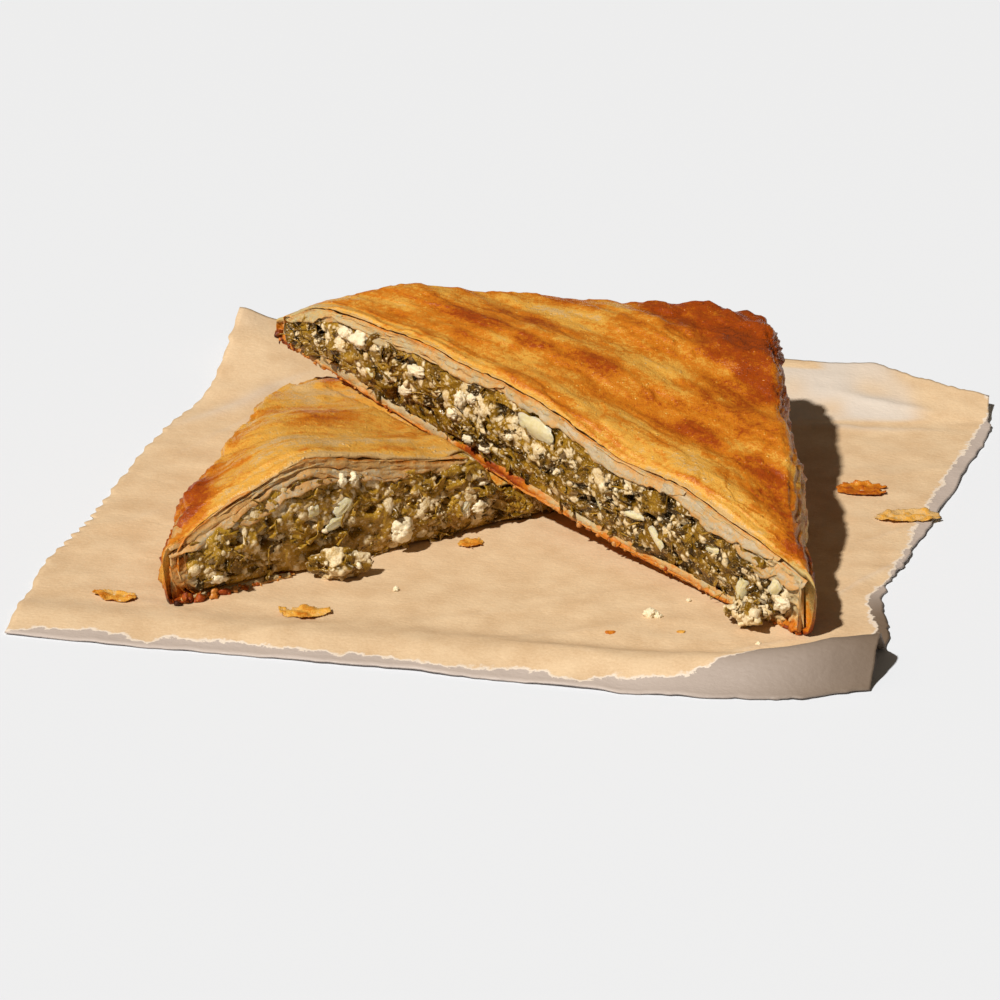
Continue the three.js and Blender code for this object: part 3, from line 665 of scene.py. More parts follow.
CUT_LEAVES = {                   # inset, out, sag, wave, tone, span of the cut
    "upper": [
        (1.3, 0.0, 0.2, 0.25, 0.1, (0.01, 0.93)), (2.2, 0.4, 0.5, 0.4, 0.04, (0.1, 0.45)),
        (2.4, 0.6, 0.7, 0.45, 0.02, (0.62, 0.95)),
    ],
    "lower": [
        (1.0, -0.1, 0.1, 0.3, 0.2, (0.01, 0.46)), (1.8, 0.2, 0.3, 0.6, 0.06, (0.02, 0.36)),
    ],
}
HANGING_LEAVES = {               # span of the cut, below the crust's top, drop, out, tone, damp
    "upper": [
        ((0.02, 0.96), 0.6, 2.0, 0.1, 0.1, 0.25), ((0.12, 0.33), 1.1, 2.0, 0.7, 0.08, 0.3),
        ((0.3, 0.47), 1.0, 2.0, 0.8, 0.06, 0.2), ((0.44, 0.62), 1.1, 2.1, 0.8, 0.04, 0.1),
        ((0.58, 0.8), 1.0, 2.3, 0.9, 0.02, 0.05), ((0.76, 0.95), 1.1, 2.6, 1.2, 0.02, 0.05),
        ((0.02, 0.14), 0.6, 2.4, 0.6, 0.08, 0.5), ((0.88, 0.965), 2.2, 4.4, 1.5, 0.04, 0.1),
        ((0.93, 0.985), 3.6, 4.6, 1.2, 0.0, 0.1), ((0.955, 1.005), 1.6, 5.0, 1.5, 0.0, 0.0),
    ],
    "lower": [
        ((0.0, 0.46), 0.6, 2.1, 0.2, 0.16, 0.1), ((0.0, 0.4), 1.9, 2.2, 0.9, 0.09, 0.05),
        ((0.03, 0.26), 3.3, 2.5, 1.7, 0.06, 0.0), ((0.22, 0.37), 3.0, 1.7, 1.2, 0.07, 0.0),
        ((0.0, 0.045), 4.0, 9.0, 0.7, 0.26, 0.0), ((0.01, 0.075), 6.0, 8.0, 1.0, 0.03, 0.1),
    ],
}


def leaf_line(half, inset, base_height):
    """A leaf's line on the cut face: up round one end, under the top crust, and down round the other.
    Returns u and w along it and the direction into the filling."""
    top_u = np.linspace(inset * 0.7 + END_ARC, half.cut - inset * 0.7 - END_ARC, LEAF_POINTS)
    turn = np.radians(np.linspace(-75, 88, END_ARC_POINTS))
    ends = []
    for side, at in ((1, top_u[0]), (-1, top_u[-1])):
        high = half.thickness(np.array(at), np.array(0.0)) - inset
        middle, reach = (high + base_height) / 2, (high - base_height) / 2
        ends.append((at - side * END_ARC * np.cos(turn), middle + reach * np.sin(turn),
                     side * np.cos(turn), -np.sin(turn)))
    top_w = half.thickness(top_u, 0 * top_u) - inset
    left, right = ends
    return (np.concatenate([left[0], top_u, right[0][::-1]]),
            np.concatenate([left[1], top_w, right[1][::-1]]),
            np.concatenate([left[2], 0 * top_u, right[2][::-1]]),
            np.concatenate([left[3], 0 * top_u - 1, right[3][::-1]]))


def cut_leaf(bodies, half, inset, out, sag, wave, tone, thick, seed, span):
    """One leaf under the top crust, whose torn edge shows at the cut. out is how far it stands out."""
    u, w, into_u, into_w = leaf_line(half, inset, 0.5 + inset * 0.3)
    inside = (u >= span[0] * half.cut) & (u <= span[1] * half.cut)
    u, w, into_u, into_w = (values[inside] for values in (u, w, into_u, into_w))
    path = np.concatenate([[0], np.cumsum(np.hypot(np.diff(u), np.diff(w)))])
    line = on_line(path, seed)
    edge = -out + 0.5 * waver(line, 9, seed) + 0.4 * waver(line, 3.1, seed + 1)
    edge = edge + 0.25 * waver(line, 0.9, seed + 2)
    share = (np.linspace(0, 1, LEAF_ROWS) ** 1.7)[:, None]
    v = lerp(edge[None], np.minimum(LEAF_REACH, half.plan_depth(u) - 2.0)[None].clip(0.5), share)
    shared_wave = wave * waver(on_line(path, half.seed), 7, half.seed + 60)
    own_wave = 0.6 * wave * waver(line, 3.4, seed + 3) + 0.25 * wave * waver(line, 1.3, seed + 6)
    bend = (1 - share) ** 2 * (sag * (0.6 + 0.5 * waver(line, 8, seed + 4)) + own_wave)
    bend = bend + shared_wave * (1 - 0.6 * share)
    points = half.place(u + into_u * bend, v, w + into_w * bend)
    body, faces = sheet_solid(points, thick)
    toasted = 0.3 * np.exp(-u / 7) * half.toasted_end + 0.05 * waver(line, 1.1, seed + 7)
    tones = tone + toasted + 0.1 * (1 - share) ** 4 + 0.07 * waver(line, 5, seed + 5)
    tones = np.tile(tones.ravel(), 2) + 0.8 * scorch_of(half, body)
    bodies.add(body, faces, browning=tones, damp=0.25 + 0 * tones)


def ragged_line(u, seed):
    line = on_line(u, seed)
    return (0.3 * waver(line, 9, seed) + 0.22 * waver(line, 3, seed + 1)
            + 0.12 * waver(line, 0.9, seed + 2))


def hanging_leaf(bodies, half, span, under, drop, out, tone, damp, seed):
    """A leaf that hangs down from under the top crust in front of the filling, torn along its lower edge."""
    u = np.arange(span[0] * half.cut, span[1] * half.cut, HANGING_STEP)
    line = on_line(u, seed)
    ends = np.clip(np.minimum(u - u[0], u[-1] - u) / 9, 0, 1) ** 0.6
    share = np.linspace(0, 1, int(9 + 5 * drop))[:, None]
    tears = np.maximum(0, waver(line, 3.2, seed + 8) - 0.35) * 0.9
    reach = drop * (0.12 + 0.88 * ends) * (1 + 1.8 * ragged_line(u, seed) - tears)
    wander = 0.3 * waver(line, 7, seed + 3) + half.leaf_wander * waver(line, 15, seed + 2)
    w = half.lip_height(u) - under + wander - reach * share
    pleats = 0.55 * waver(line, 4.6, seed + 4) + 0.26 * waver(line, 1.6, seed + 5)
    pleats = pleats * (0.8 + half.leaf_wander)
    v = 0.4 - (0.4 + out * (0.4 + 0.6 * ends)) * np.sin(share * 1.6) ** 1.3 + pleats * share
    lines = np.abs(np.sin(share * reach * 2.7 + 3.0 * waver(line, 8, seed + 6)))
    v = v + 0.14 * lines + 0.12 * noise(on_plane(u + 0 * share, w), (2.4, 0.5, 1), seed + 9)
    body, faces = sheet_solid(half.place(u, v, w), HANGING_THICK)
    blotches = 0.09 * fractal(on_plane(u + 0 * share, w), (4, 1.2, 1), seed + 7, 3)
    # painted shade: the leaf is drawn darker just under the crust's lip and along its ripple lines
    tones = tone + 0.25 * (1 - share) ** 3 + 0.06 * lines + 0.2 * share ** 10 + blotches
    bodies.add(body, faces, browning=np.tile((tones + 0 * v).ravel(), 2), damp=damp)


def base_rim(bodies, half, high, out, tone, seed):
    """The torn rim of the base leaves, turned up in front of the filling."""
    u = np.arange(2.0, half.rim_end * half.cut - 2.0, HANGING_STEP)
    line = on_line(u, seed)
    share = np.linspace(0, 1, RIM_ROWS)[:, None]
    low = 0.1 + 0.5 * np.maximum(0, waver(line, 1.7, seed + 3))
    tears = 0.9 * np.maximum(0, waver(line, 2.6, seed + 8) - 0.2)
    high = high * (1 + half.rim_rise * smoothstep(-u, -34, -20))
    w = lerp(low, high * (1 + 1.6 * ragged_line(u, seed) - tears), share)
    where = on_plane(u + 0 * share, w)
    crumbly = 0.35 * waver(line, 1.4, seed + 4) + 0.35 * waver(line, 4.5, seed + 5)
    rough = 0.22 * fractal(where, (1.3, 0.6, 1), seed + 6, 2)
    v = 0.4 - out * np.sin(0.5 + share * 2.1) + crumbly * (1 - 0.5 * share) + rough
    body, faces = sheet_solid(half.place(u, v, w), -RIM_THICK)
    blotches = 0.2 * fractal(where, (2.6, 0.9, 1), seed + 7, 3)
    # the rim's browning includes the painted shade where the halves cross
    tones = tone + 0.16 * smoothstep(u, 34, 56) + half.shaded_rim(u) + 0.3 * (1 - share) ** 2
    tones = tones + 1.2 * blotches
    tones = np.tile((tones + 0 * v).ravel(), 2) + 0.7 * scorch_of(half, body)
    bodies.add(body, faces, browning=tones, damp=0.3 + 0 * tones)


def base_leaf(bodies, half, height, out, tone, thick, seed):
    """One leaf of the base, torn along the cut."""
    u = np.linspace(1.0, half.rim_end * half.cut - 1.0, LEAF_POINTS)
    line = on_line(u, seed)
    edge = -out + 0.6 * waver(line, 8, seed) + 0.4 * waver(line, 2.4, seed + 1)
    edge = edge + 0.3 * waver(line, 0.9, seed + 2)
    share = (np.linspace(0, 1, LEAF_ROWS) ** 1.7)[:, None]
    v = lerp(edge[None], 6.0, share)
    v = np.minimum(v, half.plan_depth(u) - 1.5)
    w = height + (1 - share) ** 2 * 0.35 * waver(line, 4, seed + 3) + 0 * v
    points = half.place(u, v, np.maximum(w, 0.12 + thick))
    body, faces = sheet_solid(points, thick)
    tones = np.tile((tone + 0.16 * waver(line, 4, seed + 4) + 0 * v).ravel(), 2)
    bodies.add(body, faces, browning=tones + 0.9 * scorch_of(half, body), damp=0.25 + 0 * tones)


def base_crumbs(bodies, half, seed):
    """Browned crumbs along the foot of the cut, and darker ones at its ends. Where they reach far, at the
    lower half's left end, they partly stand in for painted shadow at its foot.
    """
    random = np.random.default_rng(seed)
    count = int(BASE_CRUMBS * half.rim_end)
    along = random.uniform(1, half.rim_end * half.cut - 1, count)
    out = random.uniform(0.1, 1.0, count)
    high = random.uniform(0.0, 0.7, count)
    size = random.uniform(0.18, 0.5, count)
    dark = random.uniform(0.3, 0.85, count)
    for start, ahead in ((0.0, 1), (half.cut, -1)):
        near = random.uniform(0, 1, END_CRUMBS)
        along = np.concatenate([along, start + ahead * (0.5 + half.crumb_reach * near)])
        out = np.concatenate([out, random.uniform(-0.6, 0.7, END_CRUMBS) + 0.04 * (half.crumb_reach - 6)])
        high = np.concatenate([high, random.uniform(-0.1, 1.5, END_CRUMBS) * (1 - 0.6 * near)])
        size = np.concatenate([size, random.uniform(0.3, 0.9, END_CRUMBS) * (1 - 0.3 * near)])
        dark = np.concatenate([dark, random.uniform(0.7, 1.3, END_CRUMBS) - 0.4 * near])
    places = half.place(along, -out, high)
    places[:, 2] = np.maximum(places[:, 2], SHEET + 0.7 * size)
    frames = frames_of(random.normal(size=places.shape), random.normal(size=places.shape), random, 0.1, 0.1)
    scales = size[:, None] * random.uniform(0.4, 1.3, places.shape)
    shapes = [rough_ball(2, n, 0.7, 0.3) for n in range(5)]
    scatter_kinds(bodies, shapes, places, frames, scales, random, browning=dark, damp=0 * dark)


def end_plug(bodies, half, at_end, reach, out, tone, ragged, seed):
    """The folded leaves that close one end of the cut: a body of upright layers between base and crust."""
    from_end = np.linspace(0.4, reach, PLUG_ROWS)[:, None]
    u = half.cut - from_end if at_end else from_end
    share = np.linspace(0, 1, PLUG_COLUMNS)[None]
    w = lerp(0.9 + 0 * u, np.maximum(half.thickness(u, 0 * u) - 1.6, 2.0), share)
    where = on_plane(from_end + 0.25 * w, w)
    layers = 0.45 * (0.5 - np.abs(noise(where, (1.5, 9, 1), seed)))
    layers = layers + 0.22 * noise(where, (0.7, 4, 1), seed + 1)
    v = 0.6 - out + 0.12 * from_end - layers * 1.6 - ragged * fractal(where, (2.6, 1.8, 1), seed + 2, 3)
    back_v = lerp(v[:, -1:], 6.0, np.array([[0.5, 1.0, 1.0, 0.5]]))
    back_v = np.minimum(back_v, half.plan_depth(u) - 3.0)
    back_v = np.maximum(back_v, v.max(axis=1, keepdims=True) + 0.1)
    every_v = np.concatenate([v, back_v], axis=1)
    every_w = np.concatenate([w, w[:, -2:], w[:, :2]], axis=1)
    points, quads, fans = closed_loft(half.place(u, every_v, every_w))
    toasted = 0.3 * half.toasted_end * np.exp(-from_end / 3)
    tones = tone + toasted + 0.14 * noise(where, (1.5, 5, 1), seed + 3)
    tones = np.concatenate([tones, np.zeros(back_v.shape)], axis=1).ravel()
    tones = np.concatenate([tones, [0, 0]]) + 0.8 * scorch_of(half, points)
    bodies.add(points, quads, fans, browning=tones, damp=0.35)


def leaves_of(half, thick):
    """All the torn leaves, folds and crumbs of crust along one half's cut."""
    bodies = Bodies("browning", "damp")
    for n, (inset, out, sag, wave, tone, span) in enumerate(CUT_LEAVES[half.name]):
        cut_leaf(bodies, half, inset, out, sag, wave, tone, thick, half.seed + 7 * n, span)
    for n, (span, under, drop, out, tone, damp) in enumerate(HANGING_LEAVES[half.name]):
        hanging_leaf(bodies, half, span, under, drop, out, tone, damp, half.seed + 200 + 7 * n)
    base_crumbs(bodies, half, half.seed + 400)
    end_plug(bodies, half, False, LEFT_PLUG_REACH, 0.0, 0.06, 0.3, half.seed + 300)
    end_plug(bodies, half, True, half.plug_reach, half.plug_out, 0.05, 0.9, half.seed + 310)
    for n, (high, out, tone) in enumerate(BASE_RIMS):
        base_rim(bodies, half, high * half.rim_share, out, tone, half.seed + 120 + 7 * n)
    base_leaf(bodies, half, 0.6, 0.9, 0.5, thick, half.seed + 90)
    return bodies


# -------- filling
FACE_STATIONS = {"upper": 600, "lower": 400}
COVERED_STATIONS = 24            # along the stretch that the other half covers
FACE_STEPS = {"upper": 82, "lower": 84}
CRUMB_SIZES = (2.3, 1.35, 0.75)  # of feta on the face
FACE_MARGIN = 3.5                # the filling ends this far from each end of the cut
FACE_END_ROUND = 7.0
FLOOR = 1.5                      # top of the base leaves
FILLING_REACH = 12.0

# loose bits lie between these shares of the cut
FILLING_SPAN = {"upper": (0.035, 0.965), "lower": (0.035, 0.62)}

CURDS = {                        # clusters of feta: u, share of the height, spread, crumbs
    "upper": [
        (16, 0.6, 2.2, 22), (22, 0.8, 2.6, 34), (36, 0.82, 2.0, 20), (41, 0.45, 2.4, 22),
        (47, 0.72, 1.6, 9), (53, 0.62, 1.6, 14), (58, 0.55, 2.2, 26), (64, 0.72, 2.6, 30),
        (62, 0.3, 2.8, 46), (70, 0.5, 3.2, 54), (76, 0.72, 2.8, 36), (82, 0.5, 3.2, 48),
        (88, 0.75, 2.6, 24), (92, 0.3, 2.2, 14), (99, 0.6, 2.8, 32), (106, 0.8, 2.4, 18),
        (108, 0.35, 2.2, 10), (116, 0.6, 2.8, 26), (122, 0.8, 2.0, 9), (131, 0.3, 2.2, 9),
        (138, 0.6, 2.6, 20), (145, 0.5, 2.2, 30), (29, 0.35, 1.6, 10), (144, 0.2, 2.2, 24),
    ],
    "lower": [
        (9.5, 0.3, 1.8, 20), (15, 0.6, 2.6, 16), (22, 0.45, 3.4, 26), (28, 0.7, 2.8, 20),
        (36, 0.62, 2.6, 40), (33, 0.4, 2.4, 18), (40, 0.86, 1.8, 12), (45, 0.7, 2.6, 12),
        (52, 0.6, 2.8, 14), (58, 0.45, 2.6, 10), (66, 0.6, 2.4, 24), (70, 0.35, 2.2, 20),
        (50, 0.3, 1.6, 10), (19, 0.2, 2.2, 14),
    ],
}


def face_span(half, u):
    """Lowest and highest w of the filling at the cut."""
    stack = lerp(half.stack, 0.7, smoothstep(u, BURIED[0] - 4, BURIED[1])) if half.pressed else half.stack
    high = half.thickness(u, 0 * u) - stack
    to_end = np.clip((np.minimum(u, half.cut - u) - FACE_MARGIN + 0.8) / FACE_END_ROUND, 0.02, 1)
    share = np.sqrt(1 - (1 - to_end) ** 2)
    floor = FLOOR - half.floor_drop * smoothstep(u, 20, 32)
    middle = (floor + high) / 2
    return lerp(middle, floor, share), lerp(middle, high, share)


def feta_share(half, u, w):
    """How much of the face is feta round each place."""
    total = half.curd_share
    for at_u, share, spread, count in CURDS[half.name]:
        low, high = face_span(half, np.array(float(at_u)))
        away = (u - at_u) ** 2 + ((w - lerp(low, high, share)) * 1.25) ** 2
        total = total + 0.42 * min(1.0, count / (5 * spread ** 2)) * np.exp(-away / (1.5 * spread ** 2))
    return np.clip(total, 0, 0.8)


def crumbs_over(half, x, y, size, seed):
    """Height of rounded crumbs on the face, about size apart, as many as its share of feta allows."""
    cells = np.stack([np.floor(x / size), np.floor(y / size), 0 * x], -1)
    high = np.full(x.shape, -2.0)
    for dx, dy in np.ndindex(3, 3):
        cell = cells + (dx - 1, dy - 1, 0)
        at_x = (cell[..., 0] + 0.5 + 0.42 * cell_value(cell, seed)) * size
        at_y = (cell[..., 1] + 0.5 + 0.42 * cell_value(cell, seed + 1)) * size
        radius = size * (0.58 + 0.2 * cell_value(cell, seed + 2))
        flat = 0.75 + 0.35 * cell_value(cell, seed + 4)
        there = 0.5 + 0.5 * cell_value(cell, seed + 3) < feta_share(half, at_x, at_y)
        dome = radius ** 2 - (x - at_x) ** 2 - (y - at_y) ** 2
        domed = flat * (np.sqrt(np.maximum(dome, 0)) - 0.35 * radius)
        high = np.where(there & (dome > 0), np.maximum(high, domed), high)
    return high


def face_layers(half, u, w):
    """How far leaf and feta stand out of the filling's face, the feta's share, and how light the leaf is,
    with painted light where its folds stand out.
    """
    at = on_plane(u, w)
    seed = half.seed
    bent = at + 1.4 * np.stack([noise(at, 4.5, seed + 71), noise(at, 4.5, seed + 72), 0 * u], -1)
    folds = 1 - 2.4 * np.abs(noise(bent, (3.4, 1.5, 1), seed + 73))
    fine = 1 - 2.4 * np.abs(noise(bent, (1.3, 0.75, 1), seed + 74))
    leaf = 0.38 * folds + 0.24 * fine + 0.1 * noise(at, 0.45, seed + 75)
    x = u + 0.35 * noise(at, 0.9, seed + 76) + 0.12 * noise(at, 0.4, seed + 78)
    y = w + 0.35 * noise(at, 0.9, seed + 77) + 0.12 * noise(at, 0.4, seed + 79)
    large, middling, small = (crumbs_over(half, x, y, size, seed + 5 * n)
                              for n, size in enumerate(CRUMB_SIZES))
    feta = np.maximum(np.maximum(large * 0.8, middling + 0.12), small + 0.24)
    feta = feta + 0.1 + 0.07 * noise(at, 0.45, seed + 80)
    share = smoothstep(feta - leaf, -0.1, 0.1)
    smear = feta_share(half, u, w) + 0.22 * fractal(at, (2.4, 1.5, 1), seed + 82)
    share = np.maximum(share, 0.5 * smoothstep(smear, 0.36, 0.62))
    # painted light: the leaf is drawn lighter where its folds stand out
    light = half.leaf_light(u) + 0.22 * folds + 0.2 * fine + 0.25 * noise(at, 3.4, seed + 81)
    return np.maximum(leaf, feta), share, light


def face_front(half, u, share):
    """v of the filling's rough face, its share of feta and its light, which is darkened in the pits as
    painted shade. v is below 0 where it stands out.
    """
    low, high = face_span(half, u)
    w = lerp(low, high, share)
    at = half.place(u, 0 * u - 1.0, w)
    bulge = np.sin(np.pi * np.clip(share, 0, 1))
    rough = 0.8 * noise(at, 5.5, half.seed + 71) + 0.5 * noise(at, 2.6, half.seed + 72)
    pits = 2.3 * smoothstep(noise(at, (3.6, 3.6, 2.2), half.seed + 75), 0.3, 0.7)
    out, feta, light = face_layers(half, u, w)
    v = 0.3 - 1.4 * bulge ** 0.7 - (rough + out) * (0.45 + 0.55 * bulge) + pits * bulge
    # painted shade: the pits are drawn darker
    return v, feta, light - 0.3 * pits


def filling_core(bodies, half):
    """The body of the filling, with its rough face at the cut."""
    low_end, high_end = FACE_MARGIN, half.cut - FACE_MARGIN
    if half.shown < 1:
        covered_from = half.shown * half.cut
        seen = np.linspace(low_end, covered_from, FACE_STATIONS[half.name])
        covered = np.linspace(covered_from + 2, high_end, COVERED_STATIONS)
        u = np.concatenate([seen, covered])[:, None]
    else:
        u = np.linspace(low_end, high_end, FACE_STATIONS[half.name])[:, None]
    uu, share = np.broadcast_arrays(u, np.linspace(0, 1, FACE_STEPS[half.name])[None])
    low, high = face_span(half, uu)
    front_v, feta, light = face_front(half, uu, share)
    back = np.minimum(FILLING_REACH, half.plan_depth(u) - SIDE_CRUST)
    back_v = lerp(front_v[:, -1:], back, np.array([[0.4, 1.0, 1.0, 0.4]]))
    every_v = np.concatenate([front_v, back_v], axis=1)
    every_w = np.concatenate([lerp(low, high, share), high[:, -2:], low[:, :2]], axis=1)
    points, quads, fans = closed_loft(half.place(u, every_v, every_w))
    hidden = np.zeros(back_v.shape)
    light = np.concatenate([np.concatenate([light, hidden + 0.3], 1).ravel(), [0.3, 0.3]])
    feta = np.concatenate([np.concatenate([feta, hidden], 1).ravel(), [0, 0]])
    bodies.add(points, quads, fans, tone=light, feta=feta)


def crumpled_leaf(seed):
    """A chopped bit of cooked leaf, one unit long, folded and crumpled."""
    random = np.random.default_rng(seed)
    x, y = np.meshgrid(np.linspace(-0.5, 0.5, 10), np.linspace(-0.5, 0.5, 5))
    at = on_plane(x, y)
    width = 1 - random.uniform(0.5, 1.5) * np.abs(x + random.uniform(-0.2, 0.2)) ** 1.5
    crumple = 0.2 * noise(at, 0.34, seed) + 0.12 * (0.4 - np.abs(noise(at, 0.2, seed + 1)))
    z = random.uniform(-0.7, 0.7) * x * x + random.uniform(-1.3, 1.3) * y * y + crumple
    across = y * np.maximum(width, 0.2) + 0.1 * noise(at, 0.3, seed + 2) + random.uniform(-0.5, 0.5) * x * x
    return sheet_solid(np.stack([x + 0.08 * noise(at, 0.25, seed + 3), across, z], -1), 0.05)


def rough_ball(level, seed, amount, fine=0.0):
    """A lumpy crumb: rounded knobs with creases between them."""
    points, faces = ball(level)
    swell = 1 + amount * noise(points, 0.9, seed) + fine * (2 * np.abs(noise(points, 0.5, seed + 1)) - 0.5)
    swell = swell + 0.7 * fine * (2 * np.abs(noise(points, 0.24, seed + 2)) - 0.5)
    return points * swell[:, None], faces


def frames_of(out, along, random, tilt, spin):
    """Directions (columns) for scattered bits: along, across and out, tilted and spun at random."""
    out = unit(out + tilt * random.normal(size=out.shape))
    along = unit(along + spin * random.normal(size=out.shape))
    across = unit(np.cross(out, along))
    return np.stack([unit(np.cross(across, out)), across, out], -1)


def scatter_kinds(bodies, shapes, places, frames, scales, random, **values):
    """Scatters bits whose shape is picked at random."""
    kind = random.integers(len(shapes), size=len(places))
    for k, shape in enumerate(shapes):
        chosen = kind == k
        bodies.scatter(shape, places[chosen], frames[chosen], scales[chosen],
                       **{name: each[chosen] for name, each in values.items()})


def add_leaf_bits(bodies, places, out, along, random, size, light):
    """Crumpled bits of chopped leaf."""
    count = len(places)
    long = lerp(1.0, 4.6, random.random(count) ** 1.9) * size
    wide = long * random.uniform(0.3, 0.85, count)
    scales = np.stack([long, wide, np.minimum(long, wide) * random.uniform(0.5, 1.2, count)], -1)
    frames = frames_of(out, along, random, 0.45, 0.55)
    tone = np.clip(random.normal(light, 0.26, count), 0, 1.1)
    shapes = [crumpled_leaf(seed) for seed in range(10)]
    scatter_kinds(bodies, shapes, places, frames, scales, random, tone=tone)


def add_stems(bodies, places, along, out, random, count):
    """Thin stems and threads of leaf."""
    sides = np.linspace(0, 2 * np.pi, 5, endpoint=False)
    for _ in range(count):
        chosen = random.integers(len(places))
        ahead = unit(along[chosen] + 0.5 * random.normal(size=3))
        side = unit(np.cross(ahead, out[chosen]))
        up = np.cross(side, ahead)
        long, thick = random.uniform(2.5, 6.5), random.uniform(0.1, 0.22)
        bend = random.uniform(-0.9, 0.9)
        share = np.linspace(-0.5, 0.5, 8)[:, None]
        line = places[chosen] + out[chosen] * 0.15 + ahead * share * long
        line = line + side * bend * (share ** 2 * 4 - 0.5)
        taper = (thick * (1.05 - np.abs(share * 2) ** 4))[..., None]
        ring = np.cos(sides)[:, None] * side + np.sin(sides)[:, None] * up
        points, quads, fans = closed_loft(line[:, None, :] + taper * ring[None])
        bodies.add(points, quads, fans, tone=random.uniform(0.5, 1.0))


def face_points(half, random, count, span, out_by):
    """Random places on the filling's face, with the directions out of it and along it."""
    u = random.uniform(span[0] * half.cut, span[1] * half.cut, count)
    share = random.uniform(0.0, 0.97, count)
    return face_places(half, u, share, random.uniform(*out_by, count))


def face_places(half, u, share, proud):
    """Places that stand proud of the face, with the same directions."""
    low, high = face_span(half, u)
    places = half.place(u, face_front(half, u, share)[0] - proud, lerp(low, high, share))
    return places, np.broadcast_to(-half.inward, places.shape), np.broadcast_to(half.along, places.shape)


def add_crumbs(bodies, places, random, radius):
    """Small crumbs of feta, each an uneven lump."""
    count = len(places)
    size = radius * random.uniform(0.65, 1.25, (count, 3))
    frames = frames_of(random.normal(size=(count, 3)), random.normal(size=(count, 3)), random, 0.1, 0.1)
    shapes = [rough_ball(2, seed, 0.45, 0.25) for seed in range(6)]
    scatter_kinds(bodies, shapes, places, frames, size, random, tone=random.uniform(0.0, 0.8, count))


def add_to_face(bodies, half, shape, at_u, at_share, radii, turn, proud, tone):
    """One large piece on the face, turned on it and standing proud."""
    across = math.radians(turn)
    along = half.along * math.cos(across) + half.up * math.sin(across)
    side = half.up * math.cos(across) - half.along * math.sin(across)
    frames = np.stack([along, side, -half.inward], -1)[None]
    places, _, _ = face_places(half, np.array([float(at_u)]), np.array([float(at_share)]), np.array([proud]))
    bodies.scatter(shape, places, frames, np.array([radii], float), tone=np.array([tone]))


CHUNKS = {                       # large crumbs of feta: u, share, radius along, up and out, seed
    "upper": [
        (28, 0.84, (2.3, 1.7, 1.6), 3), (23, 0.86, (1.5, 1.1, 1.1), 4), (45.7, 0.79, (1.9, 1.3, 1.3), 5),
        (59.1, 0.74, (1.3, 1.9, 1.4), 6), (56.9, 0.5, (1.2, 1.0, 1.0), 7), (62, 0.8, (1.1, 0.9, 0.9), 8),
        (61.1, 0.26, (1.5, 1.1, 1.1), 9), (64.9, 0.22, (1.1, 0.9, 0.9), 10),
        (41.4, 0.4, (1.4, 1.0, 0.9), 11), (73.5, 0.6, (1.0, 1.0, 0.9), 12),
        (85.5, 0.45, (1.1, 1.1, 0.9), 13), (146.5, 0.45, (1.3, 1.4, 1.2), 14),
    ],
    "lower": [
        (37.2, 0.9, (1.3, 1.1, 1.2), 21), (40.0, 0.92, (1.3, 1.1, 1.2), 22),
        (49.9, 0.28, (2.4, 1.9, 1.6), 23), (70.0, 0.72, (1.7, 0.9, 1.0), 24),
        (68.5, 0.34, (1.5, 1.1, 1.0), 25), (9.6, 0.2, (2.2, 1.2, 1.3), 26), (65.5, 0.3, (1.0, 1.1, 0.9), 27),
    ],
}
ONION = {                        # u, share, length, width, thickness, turn, seed
    "upper": [
        (80.5, 0.86, 9.6, 4.4, 1.1, -8, 31), (97, 0.36, 9.2, 3.6, 0.9, -62, 32),
        (113.1, 0.34, 5.2, 1.8, 0.7, -50, 33), (127, 0.52, 8.6, 5.2, 1.2, 8, 34),
        (135.5, 0.28, 4.5, 2.6, 1.0, 70, 35), (107.5, 0.5, 4.4, 1.6, 0.8, 5, 36),
        (31.5, 0.42, 3.4, 1.2, 0.6, -40, 37), (144.5, 0.72, 4.6, 3.0, 1.0, 60, 38),
    ],
    "lower": [
        (65.3, 0.36, 3.4, 2.2, 0.8, 50, 41), (37.5, 0.6, 4.4, 3.0, 0.9, 40, 42),
        (35.2, 0.45, 3.8, 2.2, 0.8, 20, 43), (30.5, 0.62, 2.6, 2.2, 0.8, 0, 44),
    ],
}


def filling_of(half, bits, seed):
    """The rough face of the filling, its loose leaf, its large crumbs of feta and its onion."""
    random = np.random.default_rng(seed)
    face, leaf = Bodies("tone", "feta"), Bodies("tone", "feta")
    feta, onion = Bodies("tone"), Bodies("tone")
    span = FILLING_SPAN[half.name]
    filling_core(face, half)
    places, out, along = face_points(half, random, bits, span, (-0.35, 0.25))
    add_leaf_bits(leaf, places, out, along, random, 1.0, half.bit_light)
    add_stems(leaf, places, along, out, random, bits // 8)
    places, out, along = face_points(half, random, bits // 3, span, (-0.1, 0.4))
    near = feta_share(half, *cut_places(half, places)) > random.uniform(0.1, 0.9, len(places))
    add_crumbs(feta, places[near], random, lerp(0.18, 0.55, random.random((near.sum(), 1)) ** 2))
    for at_u, share, radii, piece_seed in CHUNKS[half.name]:
        chunk = rough_ball(4, piece_seed, 0.36, 0.22)
        add_to_face(feta, half, chunk, at_u, share, radii, 0, radii[2] * 0.3, 0.9)
    for at_u, share, *sizes, turn, piece_seed in ONION[half.name]:
        radii = np.array(sizes) / 2
        add_to_face(onion, half, onion_piece(piece_seed), at_u, share, radii, turn, sizes[2] * 0.5, 0.5)
    return face, leaf, feta, onion


def cut_places(half, places):
    """u and w of points close to the cut."""
    from_start = places - half.place(np.array(0.0), np.array(0.0), np.array(0.0))
    u = from_start @ half.along
    on_base = half.place(u, 0 * u, 0 * u)
    return u, (places - on_base) @ half.up


